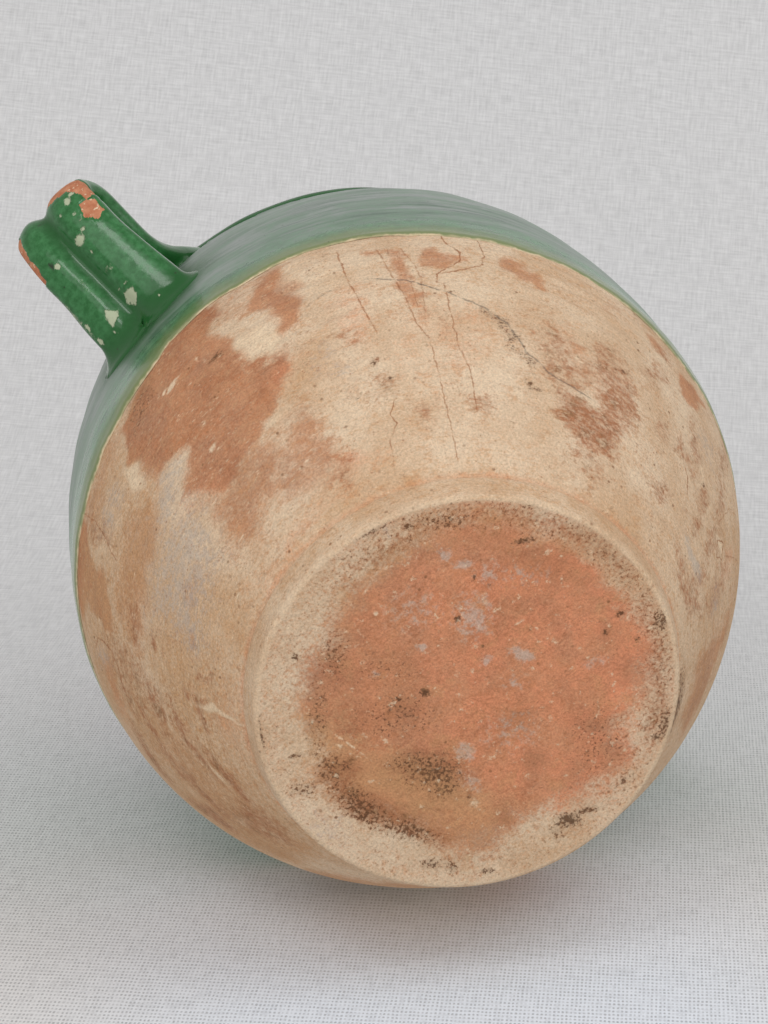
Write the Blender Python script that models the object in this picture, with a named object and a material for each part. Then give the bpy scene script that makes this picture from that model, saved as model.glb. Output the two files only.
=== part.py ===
"""A French confit pot: thrown clay body, two strap handles, green coat outside, honey coat inside.

Metres, +Z up. The origin is the middle of the flat underside, and the handles lie along Y.
"""
import math

import bmesh
import bpy
from mathutils import Vector

# Thrown body, outside
BASE_RADIUS = 0.0750          # flat underside, out to the foot's side
BASE_EDGE = 0.0015            # worn round of the foot's lower edge
FOOT_FLARE = 0.0026           # how much wider the foot band is at its top
FOOT_HEIGHT = 0.0120          # the crease where the wall leaves the foot
BELLY_RADIUS = 0.1304         # widest ring of the bare clay
BELLY_HEIGHT = 0.1275         # height of that ring above the underside
WALL_POWER = 1.637            # how quickly the lower wall rounds out of the foot
SHOULDER_AXIS = 0.1945        # half height of the oval that the shoulder follows
SHOULDER_POWER = 2.557        # fullness of that oval
SHOULDER_RISE = 0.1015        # from the belly's ring to where the shoulder turns in
NECK_RISE = 0.0190            # from there to the narrowest ring of the neck
NECK_RADIUS = 0.1060          # that ring
LIP_RISE = 0.0170             # from the narrowest ring to the lip's top
LIP_OVERHANG = 0.0062         # how far the rolled lip stands out past the neck
LIP_ROLL = 0.0052             # radius of the lip's outer roll

# Thrown body, inside
FLOOR_THICKNESS = 0.0095
WALL_THICKNESS = 0.0078
LIP_THICKNESS = 0.0114        # across the rolled lip
MOUTH_ROLL = 0.0035           # radius of the lip's inner round
FLOOR_CORNER = 0.0150         # soft corner between floor and wall

# Fired coats
FIT_GAP = 0.0003              # clear space between two pieces that touch
COAT = 0.0007                 # thickness of a fired coat
COAT_DROP = 0.0060            # the green coat's lower edge, under the belly's ring

# Strap handles
HANDLE_REACH = 0.0450         # from the belly's ring out to the strap's centre line
BEND_RISE = 0.0805            # the strap's outermost point, above the belly's ring
BEND_HALF = 0.0130            # half height of the outer bend, on the centre line
BEND_DEPTH = 0.0110           # how far the bend reaches past both limbs
WAIST_REACH = 0.0095          # the upper limb's waist, out from the belly's ring
WAIST_RISE = 0.0930           # its height above the belly's ring
WAIST = 0.0032                # how much narrower the strap is there
LIFT_RISE = 0.1020            # where the upper limb leaves the shoulder
ROOT_DROP = 0.0125            # the upper root's middle, under the lip's top
ROOT_RISE = 0.0450            # the lower root's middle, above the belly's ring
STRAP_THICKNESS = 0.0118
STRAP_WIDTH = 0.0368          # at the bend
ROOT_SPREAD = 0.0062          # extra width where the strap is pressed on
GROOVE_DEPTH = 0.0038         # the groove down the strap's outer face
GROOVE_WIDTH = 0.0084
GROOVE_SHIFT = 0.0022         # how far the groove lies off the strap's middle
UNDER_DISH = 0.0008           # the thumb's dish down the strap's inner face

# Smoothness
SEGMENTS = 40                 # around the body
STEPS_PER_SPAN = 2            # along a strap, between two points of its route
STRAP_SIDES = 18              # around a strap

# Heights and rings that follow from the sizes above
FOOT_RADIUS = BASE_RADIUS + FOOT_FLARE
SHOULDER_TOP = BELLY_HEIGHT + SHOULDER_RISE
NECK_HEIGHT = SHOULDER_TOP + NECK_RISE
RIM_HEIGHT = NECK_HEIGHT + LIP_RISE
RIM_RADIUS = NECK_RADIUS + LIP_OVERHANG
CREST_RADIUS = RIM_RADIUS - LIP_ROLL

# Finishes: linear colour and roughness
CLAY = ((0.56, 0.36, 0.22), 0.85)
HANDLE_CLAY = ((0.46, 0.22, 0.12), 0.80)
GREEN = ((0.05, 0.19, 0.07), 0.12)
HONEY = ((0.42, 0.22, 0.05), 0.15)


def shoulder_radius(height):
    """Outer radius of the shoulder's oval at a height above the belly's ring."""
    rise = (height - BELLY_HEIGHT) / SHOULDER_AXIS
    return BELLY_RADIUS * (1 - rise ** SHOULDER_POWER) ** (1 / SHOULDER_POWER)


def lower_wall(count):
    """Points from the foot's crease to the belly's ring, closing on it by a power."""
    points = []
    for i in range(count + 1):
        left = 1 - i / count
        height = BELLY_HEIGHT - (BELLY_HEIGHT - FOOT_HEIGHT) * left
        points.append((BELLY_RADIUS - (BELLY_RADIUS - FOOT_RADIUS) * left ** WALL_POWER, height))
    return points


def shoulder(count):
    """Points above the belly's ring, up to where the shoulder turns in."""
    heights = [BELLY_HEIGHT + SHOULDER_RISE * i / count for i in range(1, count + 1)]
    return [(shoulder_radius(height), height) for height in heights]


def neck(count):
    """Points that swing from the shoulder's slope to the upright narrowest ring."""
    start = shoulder_radius(SHOULDER_TOP)
    nudge = SHOULDER_RISE / 1000
    slope = (start - shoulder_radius(SHOULDER_TOP - nudge)) / nudge
    points = []
    for i in range(1, count + 1):
        t = i / count
        fall = 3 * t ** 2 - 2 * t ** 3
        lead = t ** 3 - 2 * t ** 2 + t
        radius = start + (NECK_RADIUS - start) * fall + slope * NECK_RISE * lead
        points.append((radius, SHOULDER_TOP + NECK_RISE * t))
    return points


def arc(centre, radius, start, end, count):
    """Points on an arc, from start to end in degrees, both included."""
    angles = [math.radians(start + (end - start) * i / count) for i in range(count + 1)]
    return [(centre[0] + radius * math.cos(a), centre[1] + radius * math.sin(a)) for a in angles]


def wall_outside():
    """The wall's outer outline, from the foot's crease to the narrowest ring."""
    return lower_wall(9) + shoulder(8) + neck(4)


def body_outside():
    """The whole outer outline, from the underside's edge to the lip's crest."""
    foot = arc((BASE_RADIUS - BASE_EDGE, BASE_EDGE), BASE_EDGE, -90, 0, 2)
    lip = arc((CREST_RADIUS, RIM_HEIGHT - LIP_ROLL), LIP_ROLL, -75, 90, 5)
    return foot + wall_outside() + lip


def shift(points, distance):
    """Move an outline to its right as it runs, with mitred corners."""
    sides = []
    for (r0, z0), (r1, z1) in zip(points, points[1:]):
        sides.append(Vector((z1 - z0, r0 - r1)).normalized())
    moved = []
    for i, (radius, height) in enumerate(points):
        before = sides[max(i - 1, 0)]
        after = sides[min(i, len(sides) - 1)]
        middle = (before + after).normalized()
        step = middle * (distance / max(middle.dot(after), 0.5))
        moved.append((radius + step.x, height + step.y))
    return moved


def grown_outside(distance):
    """The outer outline moved out, with both its ends square to the body."""
    grown = shift(body_outside(), distance)
    grown[0] = (BASE_RADIUS - BASE_EDGE, -distance)
    grown[-1] = (CREST_RADIUS, RIM_HEIGHT + distance)
    return grown


def body_inside():
    """The inner outline, from the lip's crest down to the flat of the floor."""
    mouth = (RIM_RADIUS - LIP_THICKNESS + MOUTH_ROLL, RIM_HEIGHT - MOUTH_ROLL)
    points = arc(mouth, MOUTH_ROLL, 90, 180, 3)
    corner_top = FLOOR_THICKNESS + FLOOR_CORNER
    wall = [p for p in shift(wall_outside()[::2], -WALL_THICKNESS) if p[1] > corner_top]
    points += reversed(wall)
    low_radius, low_height = wall[0]
    for i in range(1, 4):
        t = i / 3
        lift = (1 - t) ** 2
        points.append((low_radius - FLOOR_CORNER * t, FLOOR_THICKNESS
                       + (low_height - FLOOR_THICKNESS) * lift))
    return points


def finish(name, builder, look):
    """Turn a bmesh into a shaded object with its own material."""
    bmesh.ops.remove_doubles(builder, verts=builder.verts, dist=1e-6)
    bmesh.ops.recalc_face_normals(builder, faces=builder.faces)
    mesh = bpy.data.meshes.new(name)
    builder.to_mesh(mesh)
    builder.free()
    mesh.shade_smooth()
    mesh.set_sharp_from_angle(angle=math.radians(40))
    piece = bpy.data.objects.new(name, mesh)
    bpy.context.collection.objects.link(piece)
    color, roughness = look
    material = bpy.data.materials.new(name)
    material.use_nodes = True
    shader = material.node_tree.nodes["Principled BSDF"]
    shader.inputs["Base Color"].default_value = (*color, 1)
    shader.inputs["Roughness"].default_value = roughness
    shader.inputs["Metallic"].default_value = 0.0
    mesh.materials.append(material)
    return piece


def turned(name, outline, look):
    """Turn an outline of (radius, height), from axis to axis, around Z."""
    builder = bmesh.new()
    verts = [builder.verts.new((radius, 0, height)) for radius, height in outline]
    edges = [builder.edges.new(pair) for pair in zip(verts, verts[1:])]
    bmesh.ops.spin(builder, geom=verts + edges, axis=(0, 0, 1), cent=(0, 0, 0),
                   angle=math.tau, steps=SEGMENTS, use_merge=True)
    return finish(name, builder, look)


def guide(piece):
    """Mark a piece as a shape that only cuts or joins others."""
    piece.hide_render = True
    piece.display_type = "WIRE"
    return piece


def combine(piece, other, operation):
    """Join or cut a piece with another, exactly."""
    step = piece.modifiers.new(operation.lower(), "BOOLEAN")
    step.operation = operation
    step.solver = "EXACT"
    step.object = other


def strap_route():
    """The strap's centre line, neck to belly, as (radius, height, extra width)."""
    sink = STRAP_THICKNESS
    tip = BELLY_RADIUS + HANDLE_REACH
    limb = tip - BEND_DEPTH
    bend = BELLY_HEIGHT + BEND_RISE
    lift = BELLY_HEIGHT + LIFT_RISE
    resting = shoulder_radius(lift) + STRAP_THICKNESS / 2
    upper_root = Vector((CREST_RADIUS, RIM_HEIGHT - ROOT_DROP))
    lifting = Vector((resting, lift))
    halfway = upper_root.lerp(lifting, 0.45)
    root = BELLY_HEIGHT + ROOT_RISE
    lower_root = Vector((shoulder_radius(root), root))
    lower_bend = Vector((limb, bend - BEND_HALF))
    inward = (lower_root - lower_bend).normalized() * sink
    half_limb = lower_bend.lerp(lower_root, 0.5)
    return [
        (NECK_RADIUS - sink, upper_root.y, ROOT_SPREAD),
        (*upper_root, ROOT_SPREAD),
        (*halfway, ROOT_SPREAD * 0.7),
        (*lifting, -WAIST * 0.3),
        (BELLY_RADIUS + WAIST_REACH, BELLY_HEIGHT + WAIST_RISE, -WAIST),
        (limb, bend + BEND_HALF, WAIST * 0.3),
        (tip, bend, 0),
        (*lower_bend, WAIST * 0.1),
        (*half_limb, ROOT_SPREAD * 0.4),
        (*lower_root, ROOT_SPREAD),
        (*(lower_root + inward), ROOT_SPREAD * 1.3),
    ]


def smooth_route(route):
    """Stations on a smooth curve through the route's points."""
    points = [Vector(point) for point in route]
    points = [2 * points[0] - points[1], *points, 2 * points[-1] - points[-2]]
    stations = []
    for p0, p1, p2, p3 in zip(points, points[1:], points[2:], points[3:]):
        for i in range(STEPS_PER_SPAN):
            t = i / STEPS_PER_SPAN
            bow = 2 * p0 - 5 * p1 + 4 * p2 - p3
            twist = 3 * p1 - p0 - 3 * p2 + p3
            stations.append(p1 + 0.5 * ((p2 - p0) * t + bow * t ** 2 + twist * t ** 3))
    return stations + [points[-2]]


def strap_section(width, grow):
    """The strap's section as (across, outward): two rolls with a groove between them."""
    points = []
    for i in range(STRAP_SIDES):
        angle = math.tau * (i + 0.5) / STRAP_SIDES
        c, s = math.cos(angle), math.sin(angle)
        across = math.copysign(abs(c) ** 0.85, c) * (width / 2 + grow)
        outward = math.copysign(abs(s) ** 0.75, s) * (STRAP_THICKNESS / 2 + grow)
        dip = math.exp(-(2 * (across + GROOVE_SHIFT) / GROOVE_WIDTH) ** 2)
        outward -= dip * (GROOVE_DEPTH if s > 0 else -UNDER_DISH)
        points.append((across, outward))
    return points


def strap(name, side, grow, look):
    """Sweep the strap's section along its route, on the +Y side (1) or the -Y side (-1)."""
    stations = smooth_route(strap_route())
    builder = bmesh.new()
    rings = []
    for i, here in enumerate(stations):
        run = stations[min(i + 1, len(stations) - 1)].xy - stations[max(i - 1, 0)].xy
        out = Vector((-run.y, run.x)).normalized()
        ring = []
        for across, outward in strap_section(STRAP_WIDTH + here.z, grow):
            spot = here.xy + out * outward
            ring.append(builder.verts.new((-across * side, spot.x * side, spot.y)))
        rings.append(ring)
    for near, far in zip(rings, rings[1:]):
        for k in range(STRAP_SIDES):
            n = (k + 1) % STRAP_SIDES
            builder.faces.new((near[k], near[n], far[n], far[k]))
    builder.faces.new(rings[0])
    builder.faces.new(list(reversed(rings[-1])))
    return finish(name, builder, look)


def thrown_body():
    """The clay body: foot, belly, shoulder, neck and rolled lip in one thrown piece."""
    outline = [(0, 0)] + body_outside() + body_inside() + [(0, FLOOR_THICKNESS)]
    return turned("thrown_body", outline, CLAY)


def body_envelope():
    """The body filled solid and grown by the fit gap, which trims what sits on it."""
    skin = grown_outside(FIT_GAP)
    above = RIM_HEIGHT + STRAP_THICKNESS
    outline = [(0, skin[0][1])] + skin + [(CREST_RADIUS, above), (0, above)]
    return guide(turned("body_envelope", outline, CLAY))


def handle(name, side, envelope):
    """A strap handle, cut where it is pressed on to the body."""
    combine(strap(name, side, 0, HANDLE_CLAY), envelope, "DIFFERENCE")


def outer_coat(envelope):
    """The green coat: one skin over shoulder, neck, lip and both handles."""
    edge = BELLY_HEIGHT - COAT_DROP
    skin = grown_outside(FIT_GAP + COAT)
    index = next(i for i, point in enumerate(skin) if point[1] > edge)
    (r0, z0), (r1, z1) = skin[index - 1:index + 1]
    start = (r0 + (r1 - r0) * (edge - z0) / (z1 - z0), edge)
    outline = [(0, edge), start] + skin[index:] + [(0, skin[-1][1])]
    piece = turned("outer_glaze", outline, GREEN)
    for side, tag in ((-1, "front"), (1, "back")):
        combine(piece, guide(strap("coat_over_" + tag, side, FIT_GAP + COAT, GREEN)), "UNION")
    combine(piece, envelope, "DIFFERENCE")
    for side, tag in ((-1, "front"), (1, "back")):
        combine(piece, guide(strap("coat_under_" + tag, side, FIT_GAP, GREEN)), "DIFFERENCE")


def inner_coat():
    """The honey coat: a thin cup from the lip's crest to the middle of the floor."""
    lip = CREST_RADIUS - FIT_GAP
    wall = [(lip, RIM_HEIGHT)] + body_inside()
    back = shift(wall, FIT_GAP)
    face = shift(wall, FIT_GAP + COAT)
    back[0] = (lip, RIM_HEIGHT + FIT_GAP)
    face[0] = (lip, RIM_HEIGHT + FIT_GAP + COAT)
    back[-1] = (wall[-1][0], FLOOR_THICKNESS + FIT_GAP)
    face[-1] = (wall[-1][0], FLOOR_THICKNESS + FIT_GAP + COAT)
    outline = [(0, back[-1][1])] + back[::-1] + face + [(0, face[-1][1])]
    turned("inner_glaze", outline, HONEY)


def build():
    """Make every piece of the pot."""
    for old in list(bpy.data.objects):
        bpy.data.objects.remove(old, do_unlink=True)
    thrown_body()
    envelope = body_envelope()
    handle("front_handle", -1, envelope)
    handle("back_handle", 1, envelope)
    outer_coat(envelope)
    inner_coat()


build()
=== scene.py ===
"""The confit pot as it lies in the photo: worn clay, green and honey glazes, studio and camera.

Metres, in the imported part's own frame: +Z up along the pot's turning axis, handles along Y.
"""
import logging
import math
from dataclasses import dataclass
from enum import Enum
from typing import ClassVar, Optional, Sequence, Union

import bpy
import numpy as np
from mathutils import Matrix, Vector


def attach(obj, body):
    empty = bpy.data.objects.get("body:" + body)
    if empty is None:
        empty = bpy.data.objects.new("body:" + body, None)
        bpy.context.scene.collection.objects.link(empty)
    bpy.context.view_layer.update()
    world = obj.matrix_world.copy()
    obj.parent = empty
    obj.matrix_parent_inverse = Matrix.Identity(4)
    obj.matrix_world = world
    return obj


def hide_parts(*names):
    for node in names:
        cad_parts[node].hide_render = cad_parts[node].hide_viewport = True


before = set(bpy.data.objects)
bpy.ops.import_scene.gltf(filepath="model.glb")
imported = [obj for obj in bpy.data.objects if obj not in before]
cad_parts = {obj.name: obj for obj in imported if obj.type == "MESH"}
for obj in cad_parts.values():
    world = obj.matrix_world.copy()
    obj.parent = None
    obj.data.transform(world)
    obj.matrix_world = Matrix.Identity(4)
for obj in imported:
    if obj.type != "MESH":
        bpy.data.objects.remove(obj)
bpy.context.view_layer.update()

log = logging.getLogger("confit_pot")

MM = 0.001
FAR = 1e9                     # farther than anything here
STROKE_TAPER = 2.5            # how far a hairline fades past its end, millimetres
SEED = 1907
PHOTO_AZIMUTH = 138.0         # the azimuth of the wall's middle line in the photo, degrees

Array = np.ndarray
Link = bpy.types.NodeSocket
Socket = Union[Link, float, Sequence[float]]
Color = tuple[float, float, float]
Point = tuple[float, float]
Faces = list[tuple[int, ...]]


def srgb(red: int, green: int, blue: int) -> Color:
    """Give a display colour, 0 to 255, as linear red, green and blue."""
    parts = [c / 255 for c in (red, green, blue)]
    return tuple(c / 12.92 if c <= 0.04045 else ((c + 0.055) / 1.055) ** 2.4 for c in parts)


def smooth(value: Array, low: float, high: float) -> Array:
    """Ease from 0 at low to 1 at high."""
    t = np.clip((value - low) / (high - low), 0, 1)
    return t * t * (3 - 2 * t)


def fading(value: Array, low: float, high: float) -> Array:
    """Ease from 1 at low to 0 at high."""
    return smooth(-value, -high, -low)


def bell(away: Array, width: float) -> Array:
    """Fall off on both sides from 1 where away is 0."""
    return np.exp(-(away / width) ** 2)


def wrapped(turn: Array) -> Array:
    """Bring degrees of turn into the range from -180 to 180."""
    return (turn + 180) % 360 - 180


def unit(vectors: Array) -> Array:
    """Scale vectors to length 1."""
    return vectors / np.linalg.norm(vectors, axis=-1, keepdims=True)


def lengths(points: Array) -> Array:
    """Measure how far along a line each of its points lies."""
    steps = np.linalg.norm(np.diff(points, axis=0), axis=1)
    return np.concatenate([[0], np.cumsum(steps)])


def all_round(count: int) -> Array:
    """Give evenly spaced angles for a full turn, radians."""
    return np.arange(count) * math.tau / count


class Ripple:
    """Smooth random waves in space, the same at every run."""

    WAVES = 24
    SPREAD = (0.5, 1.6)       # how much tighter or wider than usual a wave may be

    def __init__(self, length: float, seed: int) -> None:
        """Draw the waves.

        Args:
            length: Typical wave length, in the units of the points.
            seed: Which draw it is.
        """
        draw = np.random.default_rng(SEED + seed)
        ways = unit(draw.normal(size=(self.WAVES, 3)))
        self.pull = ways * (math.tau / length * draw.uniform(*self.SPREAD, self.WAVES))[:, None]
        self.start = draw.uniform(0, math.tau, self.WAVES)
        self.scale = math.sqrt(2 / self.WAVES)

    def at(self, points: Array) -> Array:
        """Read the waves at rows of x, y, z, mostly from -1 to 1."""
        return np.sin(points @ self.pull.T + self.start).sum(axis=-1) * self.scale


def rippled(table: Sequence[tuple[float, float, int]], points: Array) -> Array:
    """Add up waves, given as (strength, length, draw), at rows of x, y, z."""
    return sum(strength * Ripple(length, seed).at(points) for strength, length, seed in table)


class Outline:
    """A line of (radius, height) that can be read by the length along it."""

    def __init__(self, points: Sequence[Point]) -> None:
        """Measure the line.

        Args:
            points: Its points in order.
        """
        self.points = np.array(points, float)
        self.along = lengths(self.points)
        run = unit(np.gradient(self.points, self.along, axis=0))
        self.side = np.stack([run[:, 1], -run[:, 0]], axis=1)

    def length_at_height(self, height: Array) -> Array:
        """Find how far along a rising line some heights are."""
        return np.interp(height, self.points[:, 1], self.along)

    def read(self, length: Array) -> tuple[Array, Array]:
        """Read points and outward sides at lengths along the line.

        Args:
            length: Lengths from the line's start.

        Returns:
            Points and unit sides, each with a last axis of (radius, height).
        """
        spots, sides = ([np.interp(length, self.along, rows[:, k]) for k in (0, 1)]
                        for rows in (self.points, self.side))
        return np.stack(spots, axis=-1), unit(np.stack(sides, axis=-1))


def arc(centre: Point, radius: float, start: float, end: float, count: int) -> list[Point]:
    """Lay points on an arc round a centre, in so many steps between two angles in degrees."""
    angles = np.radians(np.linspace(start, end, count + 1))
    return [(centre[0] + radius * math.cos(a), centre[1] + radius * math.sin(a)) for a in angles]


@dataclass(frozen=True)
class PotForm:
    """The thrown form that every piece follows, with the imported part's sizes."""

    base_radius: float = 0.075
    base_edge: float = 0.0015
    foot_flare: float = 0.0026
    foot_height: float = 0.012
    belly_radius: float = 0.1304
    belly_height: float = 0.1275
    wall_power: float = 1.637
    shoulder_axis: float = 0.1945
    shoulder_power: float = 2.557
    shoulder_rise: float = 0.1015
    neck_rise: float = 0.019
    neck_radius: float = 0.106
    lip_rise: float = 0.017
    lip_overhang: float = 0.0062
    lip_roll: float = 0.0052
    floor_thickness: float = 0.0095
    wall_thickness: float = 0.0078
    lip_thickness: float = 0.0114
    mouth_roll: float = 0.0035
    floor_corner: float = 0.015
    edge_steps: int = 5
    wall_steps: int = 72
    shoulder_steps: int = 64
    neck_steps: int = 16
    lip_steps: int = 18
    lip_start: float = -75.0  # where the lip's roll leaves the neck, degrees
    mouth_steps: int = 8
    corner_steps: int = 8
    inner_stride: int = 4     # the inside follows every fourth point of the outside
    sag: float = 0.00035      # how far the thrown wall swells and sinks
    sag_waves: tuple = (0.2, 4)

    @property
    def foot_radius(self) -> float:
        """Radius of the crease over the foot."""
        return self.base_radius + self.foot_flare

    @property
    def shoulder_top(self) -> float:
        """Height where the shoulder turns in to the neck."""
        return self.belly_height + self.shoulder_rise

    @property
    def neck_height(self) -> float:
        """Height of the narrowest ring."""
        return self.shoulder_top + self.neck_rise

    @property
    def rim_height(self) -> float:
        """Height of the lip's top."""
        return self.neck_height + self.lip_rise

    @property
    def rim_radius(self) -> float:
        """Outermost radius of the lip."""
        return self.neck_radius + self.lip_overhang

    @property
    def crest_radius(self) -> float:
        """Radius of the lip's top line."""
        return self.rim_radius - self.lip_roll

    def shoulder_radius(self, height: float) -> float:
        """Outer radius of the shoulder's oval at a height."""
        rise = (height - self.belly_height) / self.shoulder_axis
        return self.belly_radius * (1 - rise ** self.shoulder_power) ** (1 / self.shoulder_power)

    def wall(self) -> list[Point]:
        """Lay the outer line from the foot's crease to the narrowest ring.

        Returns:
            Its points as (radius, height).
        """
        points = []
        span, rise = self.belly_radius - self.foot_radius, self.belly_height - self.foot_height
        for left in np.linspace(1, 0, self.wall_steps + 1):
            radius = self.belly_radius - span * left ** self.wall_power
            points.append((radius, self.belly_height - rise * left))
        shoulder = np.linspace(self.belly_height, self.shoulder_top, self.shoulder_steps + 1)
        for height in shoulder[1:]:
            points.append((self.shoulder_radius(height), height))
        start = points[-1][0]
        slope = (start - points[-2][0]) / (points[-1][1] - points[-2][1])
        for t in np.linspace(0, 1, self.neck_steps + 1)[1:]:
            fall = 3 * t ** 2 - 2 * t ** 3
            lead = t ** 3 - 2 * t ** 2 + t
            radius = start + (self.neck_radius - start) * fall + slope * self.neck_rise * lead
            points.append((radius, self.shoulder_top + self.neck_rise * t))
        return points

    def sagging(self, points: Array) -> Array:
        """How far the wall swells at some points."""
        return self.sag * Ripple(*self.sag_waves).at(points)

    def foot(self) -> list[Point]:
        """The worn lower edge of the foot."""
        centre = (self.base_radius - self.base_edge, self.base_edge)
        return arc(centre, self.base_edge, -90, 0, self.edge_steps)

    def lip(self) -> list[Point]:
        """The rolled lip, from under its overhang to its top line."""
        centre = (self.crest_radius, self.rim_height - self.lip_roll)
        return arc(centre, self.lip_roll, self.lip_start, 90, self.lip_steps)

    def outside(self) -> Outline:
        """The outer line from the underside's edge to the lip's top."""
        return Outline(self.foot() + self.wall() + self.lip())

    def inside(self) -> Outline:
        """Lay the inner line from the lip's top down to the flat of the floor.

        Returns:
            The line.
        """
        mouth = (self.rim_radius - self.lip_thickness + self.mouth_roll,
                 self.rim_height - self.mouth_roll)
        points = [(self.crest_radius, self.rim_height)]
        points += arc(mouth, self.mouth_roll, 90, 180, self.mouth_steps)
        wall = Outline(self.wall()[::self.inner_stride])
        inner = wall.points - wall.side * self.wall_thickness
        inner = inner[inner[:, 1] > self.floor_thickness + self.floor_corner]
        points += [tuple(p) for p in inner[::-1]]
        low_radius, low_height = inner[0]
        for t in np.linspace(0, 1, self.corner_steps + 1)[1:]:
            lift = (low_height - self.floor_thickness) * (1 - t) ** 2
            points.append((low_radius - self.floor_corner * t, self.floor_thickness + lift))
        return Outline(points)


@dataclass(frozen=True)
class Blot:
    """A round patch on an unrolled surface.

    Places and half sizes run across and up. On the wall, across is in degrees of turn
    from the photo's middle line. Everything else is in millimetres.
    """

    across: float
    up: float
    half_across: float
    half_up: float
    depth: float = 1.0
    soft: float = 4.0
    tilt: float = 0.0
    least_width: ClassVar[float] = 0.1

    def cover(self, across: Array, up: Array, unit: float) -> Array:
        """Say how far each point is covered.

        Args:
            across: The points' places across.
            up: The points' heights, millimetres.
            unit: Millimetres per unit across.

        Returns:
            A share from 0 to the patch's depth, half of it at the edge.
        """
        x = (across - self.across) * unit
        y = up - self.up
        turn = math.radians(self.tilt)
        x, y = x * math.cos(turn) + y * math.sin(turn), y * math.cos(turn) - x * math.sin(turn)
        wide = max(self.half_across * unit, self.least_width)
        reach = np.sqrt((x / wide) ** 2 + (y / self.half_up) ** 2)
        inside = (1 - reach) * min(wide, self.half_up)
        return self.depth * np.clip(0.5 + inside / (2 * self.soft), 0, 1)


@dataclass(frozen=True)
class Patch:
    """A patch with a drawn edge, given as (across, up) corners in order."""

    corners: tuple[Point, ...]
    depth: float = 1.0
    soft: float = 4.0

    @property
    def across(self) -> float:
        """The patch's middle, across."""
        return sum(corner[0] for corner in self.corners) / len(self.corners)

    def cover(self, across: Array, up: Array, unit: float) -> Array:
        """Say how far each point is covered, as a Blot does.

        Args:
            across: The points' places across.
            up: The points' heights, millimetres.
            unit: Millimetres per unit across.

        Returns:
            A share from 0 to the patch's depth, half of it at the edge.
        """
        x = across * unit
        away = np.full(x.shape, FAR)
        inside = np.zeros(x.shape, bool)
        for (ax, ay), (bx, by) in zip(self.corners, self.corners[1:] + self.corners[:1]):
            ax, bx = ax * unit, bx * unit
            dx, dy = bx - ax, by - ay
            t = np.clip(((x - ax) * dx + (up - ay) * dy) / (dx * dx + dy * dy), 0, 1)
            away = np.minimum(away, np.hypot(x - ax - t * dx, up - ay - t * dy))
            if dy:
                crossing = (ay > up) != (by > up)
                inside ^= crossing & (x < ax + (up - ay) / dy * dx)
        signed = np.where(inside, away, -away)
        return self.depth * np.clip(0.5 + signed / (2 * self.soft), 0, 1)


def marks(*rows: tuple) -> tuple[Union[Blot, Patch], ...]:
    """Make patches of the rows that start with their corners, and round ones of the rest."""
    return tuple(Patch(*row) if isinstance(row[0], tuple) else Blot(*row) for row in rows)


def covered(patches: Sequence[Union[Blot, Patch]], across: Array, up: Array,
            unit: float, turning: bool = False) -> Array:
    """Say how far points are covered by the strongest of some patches.

    Args:
        patches: The patches.
        across: The points' places across.
        up: The points' heights, millimetres.
        unit: Millimetres per unit across.
        turning: Whether across is in degrees and starts again after a full turn.

    Returns:
        A share from 0 to 1.
    """
    value = np.zeros(across.shape)
    for patch in patches:
        near = wrapped(across - patch.across) + patch.across if turning else across
        value = np.maximum(value, patch.cover(near, up, unit))
    return value


@dataclass(frozen=True)
class Stroke:
    """A thin line on an unrolled surface, through (across, up) points."""

    points: tuple[Point, ...]
    strength: float = 1.0


def strokes(*rows: tuple) -> tuple[Stroke, ...]:
    """Make thin lines of rows."""
    return tuple(Stroke(*row) for row in rows)


def stroke_field(group: Sequence[Stroke], x: Array, y: Array,
                 unit: float, reach: float) -> tuple[Array, Array]:
    """Measure how far points lie beside the nearest of some strokes.

    Args:
        group: Lines that lie well apart.
        x: The points' places across, millimetres.
        y: The points' heights, millimetres.
        unit: Millimetres per unit across in the strokes.
        reach: Beyond this, a point belongs to no stroke.

    Returns:
        The signed distance in millimetres, and the strength there.
    """
    nearest = np.full(x.shape, FAR)
    signed = np.full(x.shape, reach)
    strength = np.zeros(x.shape)
    for stroke in group:
        pairs = list(zip(stroke.points, stroke.points[1:]))
        for index, ((ax, ay), (bx, by)) in enumerate(pairs):
            ax, bx = ax * unit, bx * unit
            dx, dy = bx - ax, by - ay
            length = math.hypot(dx, dy)
            t = ((x - ax) * dx + (y - ay) * dy) / length ** 2
            low = 0 if index == 0 else -FAR
            high = 1 if index == len(pairs) - 1 else FAR
            held = np.clip(t, 0, 1)
            gap = np.hypot(x - ax - dx * held, y - ay - dy * held)
            side = ((x - ax) * dy - (y - ay) * dx) / length
            closer = gap < nearest
            nearest = np.where(closer, gap, nearest)
            signed = np.where(closer, np.clip(side, -reach, reach), signed)
            ends = fading(np.abs(t - np.clip(t, low, high)) * length, 0, STROKE_TAPER)
            here = stroke.strength * ends * (gap < reach)
            strength = np.where(closer, here, strength)
    return signed, strength


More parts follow.
